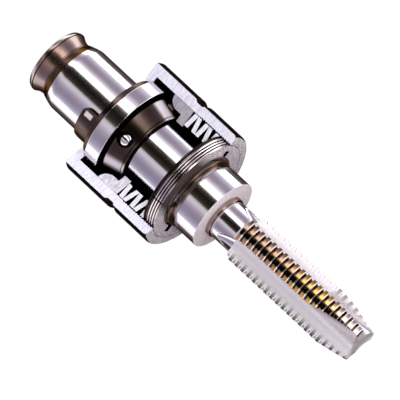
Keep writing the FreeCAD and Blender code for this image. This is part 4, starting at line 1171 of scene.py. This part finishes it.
def stacked(name, pattern, middle, start, count):
    """Stack a disc from start along the axis, every second one turned over about the window's middle."""
    growth = Growth("spring_stack", Disc="Object", Count="Int", Pitch="Float", Middle="Float", Start="Float",
                    Skin="Material", Section="Material")
    tree, given = growth.tree, growth.given
    disc = tree.node("GeometryNodeObjectInfo", given["Disc"], out="Geometry")
    centred = tree.node("GeometryNodeTransform", disc, named={
        "Translation": tree.node("ShaderNodeCombineXYZ", given["Middle"] * -1.0)})
    spots = tree.node("GeometryNodeMeshLine", given["Count"], mode="OFFSET", named={
        "Start Location": tree.node("ShaderNodeCombineXYZ", given["Start"]),
        "Offset": tree.node("ShaderNodeCombineXYZ", given["Pitch"])})
    over = tree.node("GeometryNodeInputIndex").join("MODULO", 2.0) * math.pi
    copies = tree.node("GeometryNodeInstanceOnPoints", spots, named={
        "Instance": centred, "Rotation": tree.node("ShaderNodeCombineXYZ", None, None, over)})
    return growth.grow(name, copies, ["Skin", "Section"], Disc=pattern, Count=count, Pitch=SPRING_PITCH * MM,
                       Middle=middle * MM, Start=start * MM, Skin=pattern.data.materials[0],
                       Section=pattern.data.materials[1])


first_middle = (spring_rear + spring_front) / 2
rear_discs = stacked("rear_disc_springs", one_disc, first_middle, first_middle, 2)
finished(rear_discs, "drive_body", "spring_steel", "disc_spring_1", "disc_spring_2")
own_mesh(rear_discs)
third_middle = first_middle + 2 * SPRING_PITCH
front_discs = stacked("front_disc_springs", one_disc, first_middle, third_middle, 3)
finished(front_discs, "drive_body", "spring_steel", "disc_spring_3", "disc_spring_4", "disc_spring_5")
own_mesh(front_discs)
bpy.data.objects.remove(one_disc)
for discs in (rear_discs, front_discs):
    discs.visible_glossy = False

# Thrust washer: lies between the last disc spring and the adjusting ring, so that the ring can turn.
# Hardened and ground flat.
HUB_CLEAR = HUB_RADIUS + 0.1
washer_rear, washer_front = span("thrust_washer")
washer = turn_up("hardened_washer", [
    (washer_rear, HUB_CLEAR), (washer_rear, SPRING_OUTER), (washer_front, SPRING_OUTER),
    (washer_front, HUB_CLEAR)], [blackened], edge=0.08)
finished(washer, "spring_seat", "sleeve_steel", "thrust_washer")

# Adjusting ring: screws into the housing's front and loads the disc springs; that sets the torque.
# Turned with a fine thread, its front face peened to a grey speckle, with a recess, two spanner notches
# in the face and a narrow key slot across the thread.
RING_THREAD = 14.9
RING_PITCH = 0.75
RING_DEPTH = 0.4
RECESS_RADIUS = 11.2
RECESS_DEPTH = 0.9
NOTCH_ANGLE = 15.0
KEY_SLOT_ANGLE = 124.0
KEY_SLOT_WIDTH = 0.4
NOTCH_DEPTH = 1.3
NOTCH_WIDTH = 2.0
ring_rear, ring_front = span("adjusting_ring")


def ring_face_painted_shade(tree, base, at):
    """Painted shade: a brown-black band over the middle of the face."""
    across_face = at.y / (2 * RING_THREAD * MM) + 0.5
    painted_shade_band = tree.ramp(across_face, (0.13, 0.0), (0.22, 1.0), (0.66, 1.0), (0.8, 0.0))
    return tree.blend(painted_shade_band * 0.95, base, (0.04, 0.024, 0.016))


# The ring's and the housing's front faces carry painted shade over their middle.
ring_face = speckle("speckled_ring_face", (0.12, 0.1, 0.1), (0.95, 0.88, 0.93), 0.6, 0.22, ring_face_painted_shade,
                    gloss=0.08)


def thread_root_painted_shade(tree, base, at):
    """Painted shade: roots darkened to near black between bright crests."""
    deep = (RING_THREAD * MM - at.reach) / (RING_DEPTH * MM)
    return tree.blend(tree.ramp(deep, (0.5, 0.0), (0.72, 1.0)), base, (0.06, 0.035, 0.022)), 1.0


thread_steel = steel("thread_steel", (0.86, 0.78, 0.78), 0.2, BROWN_EDGE, tone=thread_root_painted_shade)


def ring_thread(x, r, degrees):
    """Fine V thread round the adjusting ring."""
    if r < RING_THREAD - 0.05 or x < ring_rear + 0.35 or x > ring_front - 0.3:
        return x, r
    phase = x / RING_PITCH - degrees / 360
    return x, r - RING_DEPTH * abs(phase - round(phase)) * 2


thread_rows = 40
recess_floor = ring_front - RECESS_DEPTH
ring_outline = [(ring_rear, HUB_CLEAR), (ring_rear, RING_THREAD - 0.3, 0)]
ring_outline += [(ring_rear + 0.3 + (ring_front - ring_rear - 0.6) * row / thread_rows, RING_THREAD, 0)
                 for row in range(thread_rows + 1)]
ring_outline += [(ring_front, RING_THREAD - 0.05, 0), (ring_front, RECESS_RADIUS, 0.1),
                 (recess_floor, RECESS_RADIUS, 0), (recess_floor, HUB_CLEAR)]
# Painted shade: the recess floor and wall in dark brown speckle.
shaded_recess_face = speckle("oily_recess_face", (0.09, 0.05, 0.035), (0.5, 0.37, 0.3), 0.45, 0.22)
setting_ring = turn_up("threaded_adjusting_ring", ring_outline, [thread_steel, ring_face, shaded_recess_face],
                       shape=ring_thread, around=220,
                       choose=lambda x, r: 1 if x > ring_front - 0.02 else
                       2 if r < RECESS_RADIUS + 0.12 and x > ring_front - 1 else 0)


def notch_block(name, depth, inner, outer, width):
    """Block that cuts a notch into the ring's front face, from an inner to an outer reach."""
    corners = [(x, y, z) for x in (ring_front - depth, ring_front + 1) for y in (inner, outer)
               for z in (-width / 2, width / 2)]
    faces = [(0, 1, 3, 2), (4, 6, 7, 5), (0, 4, 5, 1), (2, 3, 7, 6), (0, 2, 6, 4), (1, 5, 7, 3)]
    return fix_normals(solid(name, corners, faces, [black_recess]))


face_middle = (RECESS_RADIUS + RING_THREAD) / 2
# The notches and the key slot take the cutters' black, painted shade.
notch = notch_block("notch_cutter", NOTCH_DEPTH, RECESS_RADIUS - 0.3, face_middle, NOTCH_WIDTH)
drilled(setting_ring, notch, 2, turn=NOTCH_ANGLE)
key_slot = notch_block("key_slot_cutter", ring_front - ring_rear + 1, RING_THREAD - 0.7, RING_THREAD + 1,
                       KEY_SLOT_WIDTH)
drilled(setting_ring, key_slot, 1, turn=KEY_SLOT_ANGLE)
finished(setting_ring, "adjusting_ring", "ring_steel", "adjusting_ring")

# Housing: the outer sleeve round the clutch, cut open over its upper side so that the springs show.
# Blackened outside and in the bore, with the section faces pale, and a fine thread in its front end.
HOUSING_RADIUS = 17.85
HOUSING_BORE = 15.0
LIP_BORE = 12.4
BAND_START = 14.3
BAND_WIDTH = 3.1
BAND_DEPTH = 0.6
FRONT_STEP = 0.15
FRONT_ROUND = 0.9
THREAD_REACH = 11.0
THREAD_ENTRY = 0.3
HOUSING_THREAD = 0.3
housing_rear, housing_front = span("housing")
lip_front = flange_rear - 0.1
band_rear = housing_rear + BAND_START
band_front = band_rear + BAND_WIDTH
front_radius = HOUSING_RADIUS - FRONT_STEP
thread_from = housing_front - THREAD_REACH


def housing_thread(x, r, degrees):
    """Fine thread cut into the housing's bore from the front."""
    if abs(r - HOUSING_BORE) > 0.01 or not thread_from < x < housing_front - THREAD_ENTRY:
        return x, r
    phase = x / RING_PITCH - degrees / 360
    return x, r + HOUSING_THREAD * (1 - abs(phase - round(phase)) * 2)


bore_rows = 120
housing_outline = [
    (housing_rear, LIP_BORE), (housing_rear, HOUSING_RADIUS, 0.3), (band_rear, HOUSING_RADIUS, 0.1),
    (band_rear + BAND_DEPTH, HOUSING_RADIUS - BAND_DEPTH, 0.1),
    (band_front - BAND_DEPTH, HOUSING_RADIUS - BAND_DEPTH, 0.1), (band_front, front_radius, 0.1),
    (housing_front, front_radius, FRONT_ROUND), (housing_front, HOUSING_BORE, 0)]
row_step = (THREAD_REACH - THREAD_ENTRY) / bore_rows
housing_outline += [(housing_front - THREAD_ENTRY - row_step * row, HOUSING_BORE, 0)
                    for row in range(bore_rows + 1)]
housing_outline += [(lip_front, HOUSING_BORE, 0.1), (lip_front, LIP_BORE)]
# The housing's front face takes the ring face's finish, with its painted shade over the middle.
housing = turn_up("cut_away_housing", housing_outline, [blackened, ring_face, section], shape=housing_thread,
                  start=WINDOW_START, sweep=SOLID_ANGLE, around=150,
                  choose=lambda x, r: 1 if x > housing_front - 0.14 else 0)
finished(housing, "drive_body", "housing_steel", "housing")
